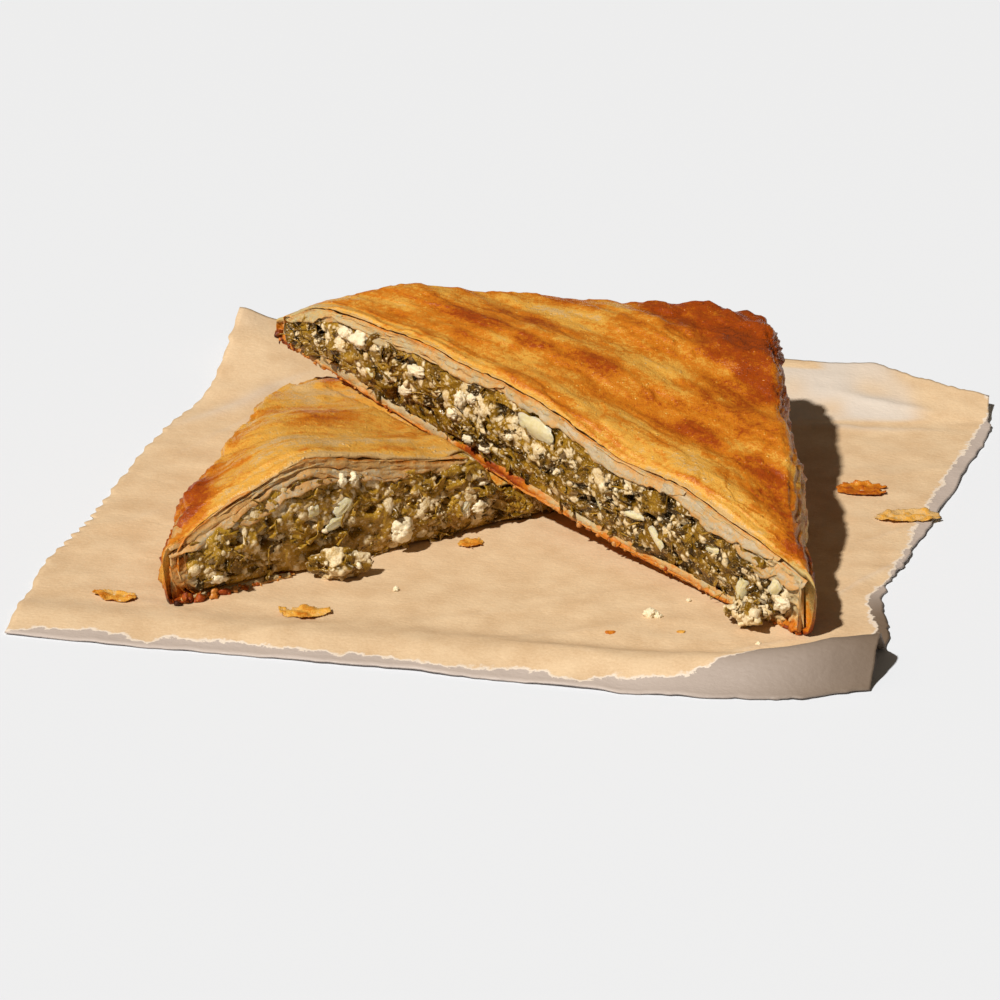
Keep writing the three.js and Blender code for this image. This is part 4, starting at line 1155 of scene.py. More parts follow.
def onion_piece(seed):
    """A piece of cooked onion: a thick curved plate with an uneven outline."""
    points, faces = ball(4)
    flat = np.sign(points) * np.abs(points) ** np.array([0.8, 0.8, 1.0])
    flat = flat * (1 + 0.34 * noise(points, 0.9, seed) + 0.14 * noise(points, 0.4, seed + 2))[:, None]
    curved = 0.8 * (0.3 - flat[:, 1] ** 2)
    flat[:, 2] = 0.6 * flat[:, 2] + curved + 0.3 * noise(points, (0.9, 0.25, 1), seed + 1)
    return flat, faces


# -------- what has fallen on the paper
def heap_bodies(low, high, direction, seed, bits, size, shift):
    """A heap of filling at the box of its solid: a lumpy body of leaf and feta with loose leaf on it."""
    random = np.random.default_rng(seed)
    heap, feta = Bodies("tone", "feta"), Bodies("tone")
    low, high = np.array(low) / MM, np.array(high) / MM
    middle = (low + high) / 2 + np.array(shift)
    turn = math.radians(direction)
    ahead = np.array([math.cos(turn), math.sin(turn), 0])
    side = np.array([-math.sin(turn), math.cos(turn), 0])
    reach = (high - low) / 2
    long = reach[0] / max(abs(ahead[0]), 0.7) * 0.95 * size
    wide = min(reach[1], reach[0]) * 0.78 * size
    tall = reach[2] * 1.35

    def shaped(points):
        local = points * np.array([long, wide, tall])
        placed = middle + local[:, :1] * ahead + local[:, 1:2] * side + local[:, 2:] * np.array([0, 0, 1])
        placed[:, 2] = np.maximum(placed[:, 2], SHEET + 0.05)
        return placed

    points, faces = ball(6)
    swell = 0.84 + 0.44 * noise(points, 0.7, seed) + 0.16 * noise(points, 0.32, seed + 1)
    there = shaped(points * swell[:, None])
    folds = 1 - 2.4 * np.abs(noise(there, 1.9, seed + 2))
    knobs = 2 * np.abs(noise(there, 1.3, seed + 3)) + 0.6 * np.abs(noise(there, 0.6, seed + 4))
    share = smoothstep(noise(there, 2.6, seed + 5) + 0.5 * noise(there, 1.0, seed + 6), -0.34, -0.05)
    outward = unit(there - middle)
    body = there + outward * (0.4 * lerp(folds, knobs, share) - 0.2)[:, None]
    body[:, 2] = np.maximum(body[:, 2], SHEET + 0.03)
    # painted light: the heap's leaf is drawn lighter where its folds stand out
    heap.add(body, faces, tone=0.4 + 0.3 * folds, feta=share)
    out = unit(random.normal(size=(bits, 3)))
    out[:, 2] = np.abs(out[:, 2]) * 0.9 - 0.15
    surface = 0.8 + 0.36 * noise(out, 0.7, seed)
    places = shaped(out * surface[:, None])
    places[:, 2] = np.maximum(places[:, 2], SHEET + 0.9)
    along = unit(np.cross(out, random.normal(size=(bits, 3))))
    add_leaf_bits(heap, places, out, along, random, 0.55, 0.4)
    add_stems(heap, places, along, out, random, 3)
    chosen = unit(random.normal(size=(bits // 2, 3)))
    chosen[:, 2] = np.abs(chosen[:, 2]) * 0.9 - 0.1
    radius = lerp(0.3, 0.9, random.random(len(chosen)) ** 2)
    places = shaped(chosen * (0.9 + 0.36 * noise(chosen, 0.7, seed))[:, None])
    places[:, 2] = np.maximum(places[:, 2], SHEET + radius * 0.8)
    add_crumbs(feta, places, random, radius[:, None])
    return heap, feta


def flake_body(low, high, turn, bend, tone, seed):
    """A curled flake of crust in the box of its solid."""
    low, high = np.array(low) / MM, np.array(high) / MM
    middle = (low + high) / 2
    long, wide = (high - low)[0] * 1.12, (high - low)[1] * 1.12
    x, y = np.meshgrid(np.linspace(-1, 1, 46), np.linspace(-1, 1, 30))
    inside = 0.85 - np.sqrt(x * x + y * y) ** 1.3 + 0.42 * fractal(on_plane(x * 4, y * 3), 2.0, seed, 4)
    grain = noise(on_plane(x * long, y * wide), 2.6, seed + 5)
    lift = bend * (0.5 * x * x + 0.3 * y * y) + 0.4 * grain + 0.3 * noise(on_plane(x, y), 0.5, seed + 6)
    across = math.radians(turn)
    flat_x, flat_y = x * long / 2, y * wide / 2
    z = lift - lift[inside > 0].min() + SHEET + 0.2
    points = np.stack([middle[0] + flat_x * math.cos(across) - flat_y * math.sin(across),
                       middle[1] + flat_x * math.sin(across) + flat_y * math.cos(across), z], -1)
    cells = (inside[:-1, :-1] + inside[1:, :-1] + inside[:-1, 1:] + inside[1:, 1:]) / 4
    body, faces = sheet_solid(points, 0.1, cells > 0)
    tones = np.tile((tone + 0.2 * grain - 0.1 * y).ravel(), 2)
    bodies = Bodies("browning", "damp")
    bodies.add(body, faces, browning=tones, damp=0.0)
    return bodies


# -------- baking paper
PAPER_COLUMNS, PAPER_ROWS = 178, 154
PAPER_THICK = 0.3
LEFT_LENGTH, RIGHT_LENGTH, FRONT_LENGTH, BACK_LENGTH = 165, 150, 165, 170
TOOTH = 5.0                      # of the box's cutter, along the left edge


def curve_through(points, share):
    """A centripetal Catmull-Rom curve through the points, read at shares from 0 to 1."""
    points = np.array(points, float)
    points = np.concatenate([[2 * points[0] - points[1]], points, [2 * points[-1] - points[-2]]])
    at = np.clip(share, 0, 1) * (len(points) - 3)
    i = np.minimum(at.astype(int), len(points) - 4)
    t = (at - i)[..., None]
    p0, p1, p2, p3 = (points[i + k] for k in range(4))
    steps = (p1 - p0, p2 - p1, p3 - p2)
    d0, d1, d2 = (np.sqrt(np.linalg.norm(step, axis=-1, keepdims=True)) for step in steps)
    start = ((p1 - p0) / d0 - (p2 - p0) / (d0 + d1) + (p2 - p1) / d1) * d1
    stop = ((p2 - p1) / d1 - (p3 - p1) / (d1 + d2) + (p3 - p2) / d2) * d1
    square = 3 * (p2 - p1) - 2 * start - stop
    cube = 2 * (p1 - p2) + start + stop
    return p1 + start * t + square * t ** 2 + cube * t ** 3


def slack(share):
    """From 0 at the ends of an edge to 1 along its middle."""
    return np.minimum(1, 8 * np.minimum(share, 1 - share))


def torn(share, length, seed, rough):
    """How far a torn edge wanders, at shares of its length."""
    line = on_line(share * length, seed)
    wander = waver(line, 14, seed) + 0.5 * waver(line, 4.2, seed + 1) + 0.4 * waver(line, 1.7, seed + 2)
    return rough * wander * slack(share)


def cutter_teeth(share, length):
    """The row of teeth that the box's cutter leaves."""
    at = share * length
    teeth = np.abs((at / TOOTH % 1.0) - 0.5) * 2
    skip = 0.5 + 0.5 * waver(on_line(at, 5), 13, 8)
    worn = smoothstep(waver(on_line(at, 6), 21, 9), -0.5, 0.3) * smoothstep(share, 0.75, 0.55)
    return 1.9 * (teeth - 0.5) * (0.15 + 0.85 * skip * worn) * slack(share)


def paper_plan(s, t, ragged=True):
    """Plan position on the sheet at shares s, left to right, and t, front to back."""
    left, right = curve_through(PAPER_LEFT, t), curve_through(PAPER_RIGHT, t)
    front, back = curve_through(PAPER_FRONT, s), curve_through(PAPER_BACK, s)
    if ragged:
        left = left + np.stack([-cutter_teeth(t, LEFT_LENGTH) - torn(t, LEFT_LENGTH, 1, 0.9), 0 * t], -1)
        right = right + np.stack([torn(t, RIGHT_LENGTH, 2, 1.3), 0 * t], -1)
        front = front + np.stack([0 * s, torn(s, FRONT_LENGTH, 3, 0.9)], -1)
        back = back + np.stack([0 * s, torn(s, BACK_LENGTH, 4, 1.0)], -1)
    s, t = s[..., None], t[..., None]
    corners = (np.array(PAPER_FRONT[0]) * (1 - s) * (1 - t) + np.array(PAPER_FRONT[-1]) * s * (1 - t)
               + np.array(PAPER_BACK[0]) * (1 - s) * t + np.array(PAPER_BACK[-1]) * s * t)
    return left * (1 - s) + right * s + front * (1 - t) + back * t - corners


PAPER_CREASES = [                # x, y of both ends, height, width
    ((40, 44), (104, 36), 0.8, 2.2), ((52, -62), (92, -18), 0.55, 1.6), ((-78, 10), (-30, 84), 0.5, 2.0),
    ((-88, -40), (-50, -64), 0.4, 1.6), ((-20, -76), (40, -60), 0.35, 1.5),
    ((-14, -58), (44, -40), 0.3, 1.4), ((62, 8), (100, 18), 0.35, 1.5), ((-78, 34), (-36, 74), 0.8, 3.2),
    ((-5, -70), (30, -86), 0.35, 1.6), ((30, -82), (64, -64), 0.5, 1.2), ((64, -30), (90, -8), 0.4, 1.5),
    ((-86, -20), (-50, 6), 0.35, 2.4), ((-30, -66), (20, -52), 0.3, 1.8),
    ((-60, -70), (-20, -62), 0.3, 1.5), ((70, 56), (96, 46), 0.9, 2.4),
]
# how wide the strip is where the paper's top layer has torn off: along the front by x, and on the right by y
TORN_FRONT = [
    (-93, 0.5), (-88, 2), (-78, 3.6), (-70, 2.6), (-66, 1), (-61, 3.6), (-45, 3.6), (-30, 2.6), (-24, 3.4),
    (-8, 1.6), (4, 3.2), (14, 1.6), (20, 3.4), (34, 5), (43, 9.5), (51, 13), (60, 16), (75, 17),
]
TORN_RIGHT = [
    (-95, 2), (-50, 2), (-42, 0.2), (-26, 0.2), (-18, 1.8), (0, 2.8), (20, 3), (38, 2.2), (44, 0), (60, 0),
]


def bent_at(at, amount):
    """Places on the paper, shifted to and fro so that what follows them wanders."""
    where = on_plane(at[..., 0], at[..., 1])
    shift = amount * np.stack([noise(where, 19, 31), noise(where, 19, 32)], -1)
    return on_plane(at[..., 0] + shift[..., 0], at[..., 1] + 0.25 * at[..., 0] + shift[..., 1])


def to_back_corner(at):
    """Distance from the back left corner."""
    return np.hypot(at[..., 0] - PAPER_BACK[0][0], at[..., 1] - PAPER_BACK[0][1])


def paper_lift(s, t, at):
    """Height of the sheet's underside, as in the solid, with creases and fine crumpling added."""
    x, y = at[..., 0], at[..., 1]
    in_from_front = y - paper_plan(s, 0 * t, False)[..., 1]
    arch = profile(FRONT_ARCH, x) * np.sin(np.pi * np.clip(in_from_front / ARCH_WIDTH, 0, 1)) ** 2
    rise = BACK_RISE * np.clip((y - BACK_CREASE) / 24, 0, 1) * smoothstep(x, 45, 62)
    to_corner = to_back_corner(at)
    corner = CORNER_RISE * (1 - smoothstep(to_corner, 0, CORNER_REACH))
    corner = corner + 1.6 * (1 - smoothstep(to_corner, 0, 8))
    lift = np.maximum(np.maximum(arch, rise), corner)
    where = on_plane(x, y)
    bent = at + 1.6 * np.stack([noise(where, 16, 21), noise(where, 16, 22)], -1)
    creases = 0
    for start, stop, high, wide in PAPER_CREASES:
        start, stop = np.array(start, float), np.array(stop, float)
        span = stop - start
        share = np.clip(((bent - start) @ span) / (span @ span), 0, 1)
        away = np.linalg.norm(bent - start - share[..., None] * span, axis=-1)
        ridge = np.sin(np.pi * np.clip(share, 0.04, 0.96))
        creases = np.maximum(creases, high * np.exp(-away / wide) * ridge)
    crumple = 0.3 * fractal(where, (12, 10, 1), 23, 4)
    for amount, size, high, seed in ((5.0, (24, 11, 1), 0.4, 24), (3.0, (12, 5, 1), 0.14, 25)):
        crumple = crumple + high * (0.4 - np.abs(noise(bent_at(at, amount), size, seed)))
    under_food = smoothstep(np.hypot(x / 1.15 - 2, y + 2), 40, 62)
    return lift + 0.2 + np.maximum(0, crumple + creases) * lerp(0.15, 1.0, under_food), creases


def paper_body():
    s, t = np.meshgrid(np.linspace(0, 1, PAPER_COLUMNS + 1), np.linspace(0, 1, PAPER_ROWS + 1))
    at = paper_plan(s, t)
    x, y = at[..., 0], at[..., 1]
    lift, creases = paper_lift(s, t, at)
    top = np.concatenate([at + SHIFT, (lift + PAPER_THICK)[..., None]], -1)
    body, faces = sheet_solid(top, PAPER_THICK)

    from_front = y - curve_through(PAPER_FRONT, s)[..., 1]
    from_right = curve_through(PAPER_RIGHT, t)[..., 0] - x
    torn_off = np.maximum(profile(TORN_FRONT, x) - from_front, profile(TORN_RIGHT, y) - from_right)

    # Painted sheen: the raised back right margin and the back left corner, which tilt toward the light, are
    # drawn paler.
    from_back = paper_plan(s, 1 + 0 * t, False)[..., 1] - y
    blurred = x + 4 * noise(on_plane(x, y), 9, 41)
    painted_sheen = smoothstep(y, BACK_CREASE - 1, BACK_CREASE + 2) * smoothstep(x, 38, 52)
    painted_sheen = painted_sheen * (1 - smoothstep(blurred, 76, 96))
    painted_sheen = painted_sheen * np.maximum(smoothstep(from_back, 3, 5), smoothstep(x, 68, 74))
    painted_sheen = np.maximum(painted_sheen, 0.3 * (1 - smoothstep(to_back_corner(at), 4, 34)))
    painted_sheen = painted_sheen * (0.8 + 0.4 * noise(on_plane(x, y), 8, 42))

    # the curl value marks where the torn strip is painted darkest, as shade at the curled front right corner
    values = {"torn_off": torn_off, "painted_sheen": painted_sheen, "crease": creases,
              "curl_shade": smoothstep(x, 18, 80) * smoothstep(-y, 40, 62)}
    bodies = Bodies(*values)
    bodies.add(body, faces, **{name: np.tile(each.ravel(), 2) for name, each in values.items()})
    return bodies


# -------- shader nodes
def is_output(value):
    return isinstance(value, bpy.types.NodeSocket)


def give(tree, made, inputs):
    """Links an output to each of the node's inputs, or sets a value there."""
    for key, value in inputs.items():
        if is_output(value):
            tree.links.new(value, made.inputs[key])
        else:
            made.inputs[key].default_value = value


def node(tree, kind, inputs=None, **settings):
    made = tree.nodes.new(kind)
    for name, value in settings.items():
        setattr(made, name, value)
    give(tree, made, inputs or {})
    return made


def value_at(tree, name):
    """The value of that name at the points of the mesh."""
    return node(tree, "ShaderNodeAttribute", attribute_name=name).outputs["Fac"]


def ranged(tree, value, low, high, to_low=0.0, to_high=1.0):
    """A value that runs smoothly from to_low, at low, to to_high, at high."""
    limits = {"Value": value, "From Min": low, "From Max": high, "To Min": to_low, "To Max": to_high}
    return node(tree, "ShaderNodeMapRange", limits, interpolation_type="SMOOTHSTEP").outputs["Result"]


def with_alpha(colour):
    return (*colour, 1.0)


def mixed(tree, share, a, b):
    """A mix of two colours, each an output or a colour setting."""
    a, b = (colour if is_output(colour) else with_alpha(colour) for colour in (a, b))
    return node(tree, "ShaderNodeMix", {0: share, 6: a, 7: b}, data_type="RGBA").outputs[2]


def maths(tree, operation, a, b):
    return node(tree, "ShaderNodeMath", {0: a, 1: b}, operation=operation).outputs[0]


def bump(tree, height, distance, strength):
    inputs = {"Height": height, "Distance": distance * MM, "Strength": strength}
    return node(tree, "ShaderNodeBump", inputs).outputs[0]


def in_millimetres(tree, stretch=(1, 1, 1)):
    """The object's own coordinates, counted in millimetres."""
    where = node(tree, "ShaderNodeTexCoord").outputs["Object"]
    return node(tree, "ShaderNodeMapping", {0: where, 3: [s / MM for s in stretch]}).outputs[0]


def texture(tree, where, scale, detail, roughness=0.5):
    inputs = {"Vector": where, "Scale": scale, "Detail": detail, "Roughness": roughness}
    return node(tree, "ShaderNodeTexNoise", inputs).outputs[0]


NUMBER, COLOUR = "NodeSocketFloat", "NodeSocketColor"


def group_tree(name, inputs, outputs):
    """A new shader node group with named inputs and outputs."""
    tree = bpy.data.node_groups.new(name, "ShaderNodeTree")
    for socket_name, kind, default in inputs:
        socket = tree.interface.new_socket(socket_name, in_out="INPUT", socket_type=kind)
        socket.default_value = default
    for socket_name, kind in outputs:
        tree.interface.new_socket(socket_name, in_out="OUTPUT", socket_type=kind)
    return tree, tree.nodes.new("NodeGroupInput").outputs, tree.nodes.new("NodeGroupOutput").inputs


def grain_group(name):
    """Two sizes of grain over a surface: a mask, a height for bumps, and rare specks."""
    tree, given, put = group_tree(
        name,
        [("Coarse size", NUMBER, 2.0), ("Fine size", NUMBER, 0.4), ("Fine share", NUMBER, 0.5)],
        [("Mask", NUMBER), ("Height", NUMBER), ("Specks", NUMBER)],
    )
    where = in_millimetres(tree)
    cells = node(tree, "ShaderNodeTexVoronoi", {"Vector": where, "Scale": 0.85})
    rare = node(tree, "ShaderNodeSeparateColor", {0: cells.outputs["Color"]})
    specks = maths(tree, "MULTIPLY", ranged(tree, cells.outputs["Distance"], 0.3, 0.1),
                   ranged(tree, rare.outputs[0], 0.66, 0.9))
    coarse = texture(tree, where, maths(tree, "DIVIDE", 1.0, given["Coarse size"]), 4.0)
    fine = texture(tree, where, maths(tree, "DIVIDE", 1.0, given["Fine size"]), 3.0)
    both = node(tree, "ShaderNodeMix", {0: given["Fine share"], 2: coarse, 3: fine}).outputs[0]
    tree.links.new(ranged(tree, both, 0.3, 0.7), put["Mask"])
    tree.links.new(both, put["Height"])
    tree.links.new(specks, put["Specks"])
    return tree


def baked_group(name):
    """Colour of baked filo, from pale through gold and brown to scorched, with soaked spots."""
    colours = ("Pale", "Straw", "Gold", "Brown", "Scorched", "Soaked")
    tree, given, put = group_tree(
        name,
        [("Browning", NUMBER, 0.4), ("Damp", NUMBER, 0.0), ("Speckle", NUMBER, 0.5),
         ("Blisters", NUMBER, 0.0), *((colour, COLOUR, (1, 1, 1, 1)) for colour in colours)],
        [("Color", COLOUR)],
    )
    speckled = maths(tree, "MULTIPLY", maths(tree, "SUBTRACT", given["Speckle"], 0.5), 0.32)
    shifted = maths(tree, "ADD", given["Browning"], speckled)
    shifted = maths(tree, "SUBTRACT", shifted, maths(tree, "MULTIPLY", given["Blisters"], 0.22))
    straw = mixed(tree, ranged(tree, shifted, 0.03, 0.2), given["Pale"], given["Straw"])
    gold = mixed(tree, ranged(tree, shifted, 0.22, 0.52), straw, given["Gold"])
    brown = mixed(tree, ranged(tree, shifted, 0.5, 0.84), gold, given["Brown"])
    scorched = mixed(tree, ranged(tree, shifted, 0.85, 1.2), brown, given["Scorched"])
    soaked = maths(tree, "MULTIPLY", given["Damp"], ranged(tree, shifted, 0.45, 0.1))
    tree.links.new(mixed(tree, soaked, scorched, given["Soaked"]), put["Color"])
    return tree


def group_node(tree, name, maker, inputs):
    """A shared node group, which is made when it is first used."""
    shared = bpy.data.node_groups.get(name) or maker(name)
    return node(tree, "ShaderNodeGroup", inputs, node_tree=shared).outputs


def grain_of(tree, coarse, fine, fine_share):
    sizes = {"Coarse size": coarse, "Fine size": fine, "Fine share": fine_share}
    return group_node(tree, "Food grain", grain_group, sizes)


# -------- finishes
def shader(name):
    material = bpy.data.materials.new(name)
    material.use_nodes = True
    tree = material.node_tree
    return material, tree, tree.nodes["Principled BSDF"]


def baked_material(name, look, pale, straw, roughness, relief, grain_sizes, translucent):
    """Filo, as browned and as soaked as the values at its points say."""
    material, tree, principled = shader(name)
    grain = grain_of(tree, *grain_sizes)
    colours = {"Pale": pale, "Straw": straw, "Gold": look.gold, "Brown": look.brown,
               "Scorched": look.scorched, "Soaked": look.soaked}
    baked = group_node(tree, "Baked filo", baked_group, {
        "Browning": value_at(tree, "browning"), "Damp": value_at(tree, "damp"),
        "Speckle": grain["Mask"], "Blisters": grain["Specks"],
        **{key: with_alpha(colour) for key, colour in colours.items()},
    })
    height = maths(tree, "ADD", grain["Height"], maths(tree, "MULTIPLY", grain["Specks"], 0.35))
    give(tree, principled, {
        "Base Color": baked["Color"],
        "Roughness": ranged(tree, grain["Mask"], 0.0, 1.0, roughness - 0.1, roughness + 0.12),
        "Normal": bump(tree, height, relief, 0.85),
        "Specular IOR Level": 0.32,
        "Subsurface Weight": translucent,
        "Subsurface Radius": (1.0, 0.6, 0.3),
        "Subsurface Scale": 1.2 * MM,
    })
    return material


def crust_material(name, look):
    return baked_material(name, look, look.bare_crust, look.straw, 0.32, 0.45, (1.0, 0.3, 0.5), 0.0)


def leaf_material(name, look):
    return baked_material(name, look, look.pale, look.leaf_straw, 0.5, 0.5, (3.0, 0.5, 0.4), 0.25)


def filling_material(name, look):
    """Cooked leaf, with feta where the feta value says so and as fine specks all over."""
    material, tree, principled = shader(name)
    grain = grain_of(tree, 1.5, 0.35, 0.5)
    uneven = maths(tree, "MULTIPLY", maths(tree, "SUBTRACT", grain["Mask"], 0.5), 0.5)
    # the tone carries the face's painted light on its folds and painted shade in its pits
    tone = maths(tree, "ADD", value_at(tree, "tone"), uneven)
    dark = mixed(tree, ranged(tree, tone, 0.0, 0.5), look.spinach_dark_and_shade, look.spinach)
    leaf = mixed(tree, ranged(tree, tone, 0.45, 1.05), dark, look.spinach_light)
    specks = ranged(tree, texture(tree, in_millimetres(tree), 1.7, 3.0), 0.59, 0.66, 0.0, 0.75)
    cream = maths(tree, "MAXIMUM", value_at(tree, "feta"), specks)
    feta = mixed(tree, grain["Mask"], look.feta, look.feta_stained)
    gloss = ranged(tree, grain["Mask"], 0.0, 1.0, 0.14, 0.34)
    give(tree, principled, {
        "Base Color": mixed(tree, cream, leaf, feta),
        "Roughness": node(tree, "ShaderNodeMix", {0: cream, 2: gloss, 3: 0.55}).outputs[0],
        "Normal": bump(tree, grain["Height"], 0.4, 0.9),
        "Coat Weight": ranged(tree, cream, 0.0, 1.0, 0.2, 0.05),
        "Coat Roughness": 0.1,
        "Specular IOR Level": 0.35,
        "Specular Tint": (1.0, 0.85, 0.6, 1.0),
    })
    return material


def feta_material(name, look):
    material, tree, principled = shader(name)
    grain = grain_of(tree, 0.9, 0.25, 0.5)
    stained = maths(tree, "MULTIPLY", grain["Mask"], ranged(tree, value_at(tree, "tone"), 1.1, 0.0))
    give(tree, principled, {
        "Base Color": mixed(tree, stained, look.feta, look.feta_stained),
        "Roughness": ranged(tree, grain["Mask"], 0.0, 1.0, 0.4, 0.62),
        "Normal": bump(tree, grain["Height"], 0.35, 0.7),
        "Subsurface Weight": 0.3,
        "Subsurface Radius": (1.0, 0.85, 0.6),
        "Subsurface Scale": 0.8 * MM,
    })
    return material


def onion_material(name, look):
    material, tree, principled = shader(name)
    grain = grain_of(tree, 3.0, 0.6, 0.35)
    give(tree, principled, {
        "Base Color": mixed(tree, grain["Mask"], look.onion, look.onion_deep),
        "Roughness": 0.25,
        "Normal": bump(tree, grain["Height"], 0.3, 0.5),
        "Subsurface Weight": 0.6,
        "Subsurface Radius": (1.0, 0.9, 0.4),
        "Subsurface Scale": 1.5 * MM,
    })
    return material


def paper_material(name, look):
    """Brown paper, worn pale at its creases, with a white lip where the top layer has torn off. It has a
    painted sheen on its raised back edge and back left corner, and its torn strip is painted grey as shade,
    darkest at the curled front right corner.
    """
    material, tree, principled = shader(name)
    grain = grain_of(tree, 7.0, 0.5, 0.35)
    fibres = texture(tree, in_millimetres(tree, (0.8, 1.2, 1)), 1.1, 6.0)
    tan = mixed(tree, grain["Mask"], look.paper, look.paper_deep)
    worn = ranged(tree, value_at(tree, "crease"), 0.15, 0.8, 0.0, 0.4)
    # painted sheen on the raised back edge and corner, drawn with the worn colour
    sheen_share = ranged(tree, value_at(tree, "painted_sheen"), 0.1, 0.9, 0.0, 0.95)
    top = mixed(tree, sheen_share, mixed(tree, worn, tan, look.paper_worn_and_sheen), look.paper_worn_and_sheen)
    stray = ranged(tree, texture(tree, in_millimetres(tree), 0.32, 8.0, 0.62), 0.25, 0.75, -0.9, 0.9)
    edge = maths(tree, "ADD", value_at(tree, "torn_off"), stray)
    lip = maths(tree, "MULTIPLY", ranged(tree, edge, -0.9, -0.3), 0.8)
    lipped = mixed(tree, lip, top, look.paper_lip)
    # painted shade: the torn strip's bare layer is drawn grey, darkening to deep shade at the curled front
    # right corner
    bare = mixed(tree, value_at(tree, "curl_shade"), look.paper_fibre_shaded, look.paper_bare_shaded)
    height = maths(tree, "ADD", fibres, ranged(tree, edge, -0.3, 0.3, 0.6, 0.0))
    give(tree, principled, {
        "Base Color": mixed(tree, ranged(tree, edge, -0.12, 0.12), lipped, bare),
        "Roughness": ranged(tree, grain["Mask"], 0.0, 1.0, 0.5, 0.68),
        "Normal": bump(tree, height, 0.25, 0.5),
    })
    return material


FINISHES = {
    "crust": ("Filo crust", crust_material),
    "leaf": ("Filo leaf", leaf_material),
    "filling": ("Spinach and feta", filling_material),
    "feta": ("Feta", feta_material),
    "onion": ("Cooked onion", onion_material),
    "paper": ("Baking paper", paper_material),
}


def material_of(key):
    """The finish of that name, made when it is first asked for."""
    name, maker = FINISHES[key]
    return bpy.data.materials.get(name) or maker(name, bpy.context.scene.pie_look)


# -------- settings
def colour_setting(name, description, red, green, blue):
    """A colour setting, given by its 0 to 255 values on screen."""
    linear = [((c / 255 + 0.055) / 1.055) ** 2.4 for c in (red, green, blue)]
    return FloatVectorProperty(name=name, description=description, subtype="COLOR", size=3, min=0, max=1,
                               default=linear)


class PIE_PG_look(bpy.types.PropertyGroup):
    """Colours of the pie and its paper."""

    pale: colour_setting("Pale filo", "Filo that has hardly browned", 178, 156, 124)
    straw: colour_setting("Straw filo", "Lightly baked filo", 216, 160, 66)
    bare_crust: colour_setting("Bare crust", "The palest spots of the crust", 206, 168, 110)
    leaf_straw: colour_setting("Straw leaf", "Lightly baked leaves at the cuts", 194, 146, 88)
    gold: colour_setting("Golden filo", "Well baked filo", 195, 113, 21)
    brown: colour_setting("Brown filo", "Dark patches of the crust", 150, 62, 6)
    scorched: colour_setting("Scorched filo", "The darkest edges", 58, 24, 8)
    soaked: colour_setting("Soaked filo", "Filo soaked by the filling", 188, 168, 112)
    # the darkest leaf, which also paints the shade in the face's pits
    spinach_dark_and_shade: colour_setting("Dark spinach", "Leaf in the crevices", 44, 28, 3)
    spinach: colour_setting("Spinach", "Cooked leaf", 118, 84, 13)
    spinach_light: colour_setting("Light spinach", "Stems and thin leaf", 170, 130, 40)
    feta: colour_setting("Feta", "Clean feta", 232, 216, 182)
    feta_stained: colour_setting("Stained feta", "Feta mixed with the filling", 192, 160, 100)
    onion: colour_setting("Onion", "Cooked onion", 226, 214, 178)
    onion_deep: colour_setting("Deep onion", "Thick parts of the onion", 212, 196, 146)
    paper: colour_setting("Paper", "Brown baking paper", 221, 193, 156)
    paper_deep: colour_setting("Deep paper", "Darker fibres of the paper", 203, 171, 132)
    # pale creases, and the painted sheen on the raised back edge and back left corner
    paper_worn_and_sheen: colour_setting("Worn paper", "Creases and rubbed paper", 206, 195, 183)
    # painted shade: the torn strip's grey, at its lighter end
    paper_fibre_shaded: colour_setting("Torn fibre", "Pale fibres along the tears", 182, 168, 158)
    paper_lip: colour_setting("Torn lip", "The white lip of each tear", 226, 214, 200)
    # painted shade: the torn strip's darkest grey, at the curled front right corner
    paper_bare_shaded: colour_setting("Bare paper", "The layer under the brown one", 105, 87, 69)


class PIE_PG_sizes(bpy.types.PropertyGroup):
    """Sizes and counts of the fine things."""

    leaf_thickness: FloatProperty(
        name="Leaf thickness", description="Thickness of one filo leaf", default=0.2 * MM, unit="LENGTH")
    upper_bits: IntProperty(
        name="Upper leaf bits", description="Bits of spinach at the upper cut", default=420, min=1)
    lower_bits: IntProperty(
        name="Lower leaf bits", description="Bits of spinach at the lower cut", default=320, min=1)
    fallen_bits: IntProperty(
        name="Fallen leaf bits", description="Bits of spinach in each fallen heap", default=36, min=1)
    sun_height: FloatProperty(
        name="Light height", description="How high the light stands", default=math.radians(50),
        subtype="ANGLE")
    sun_turn: FloatProperty(
        name="Light direction", description="Where the light stands, counted from the front to the left",
        default=math.radians(42), subtype="ANGLE")


# -------- operators
CAMERA_DISTANCE = 708.3
CAMERA_HEIGHT = math.radians(22.48)
LENS, SENSOR = 124.48, 36.0
SUN_STRENGTH, SUN_SPREAD = 4.4, math.radians(2.5)
SUN_COLOUR = (1.0, 0.965, 0.91)
SKY_COLOUR, SKY_STRENGTH = (1.0, 0.8, 0.58, 1.0), 0.1
FLOOR_COLOUR = (0.738, 0.776, 0.838, 1)
FLOOR_REACH = 4000.0


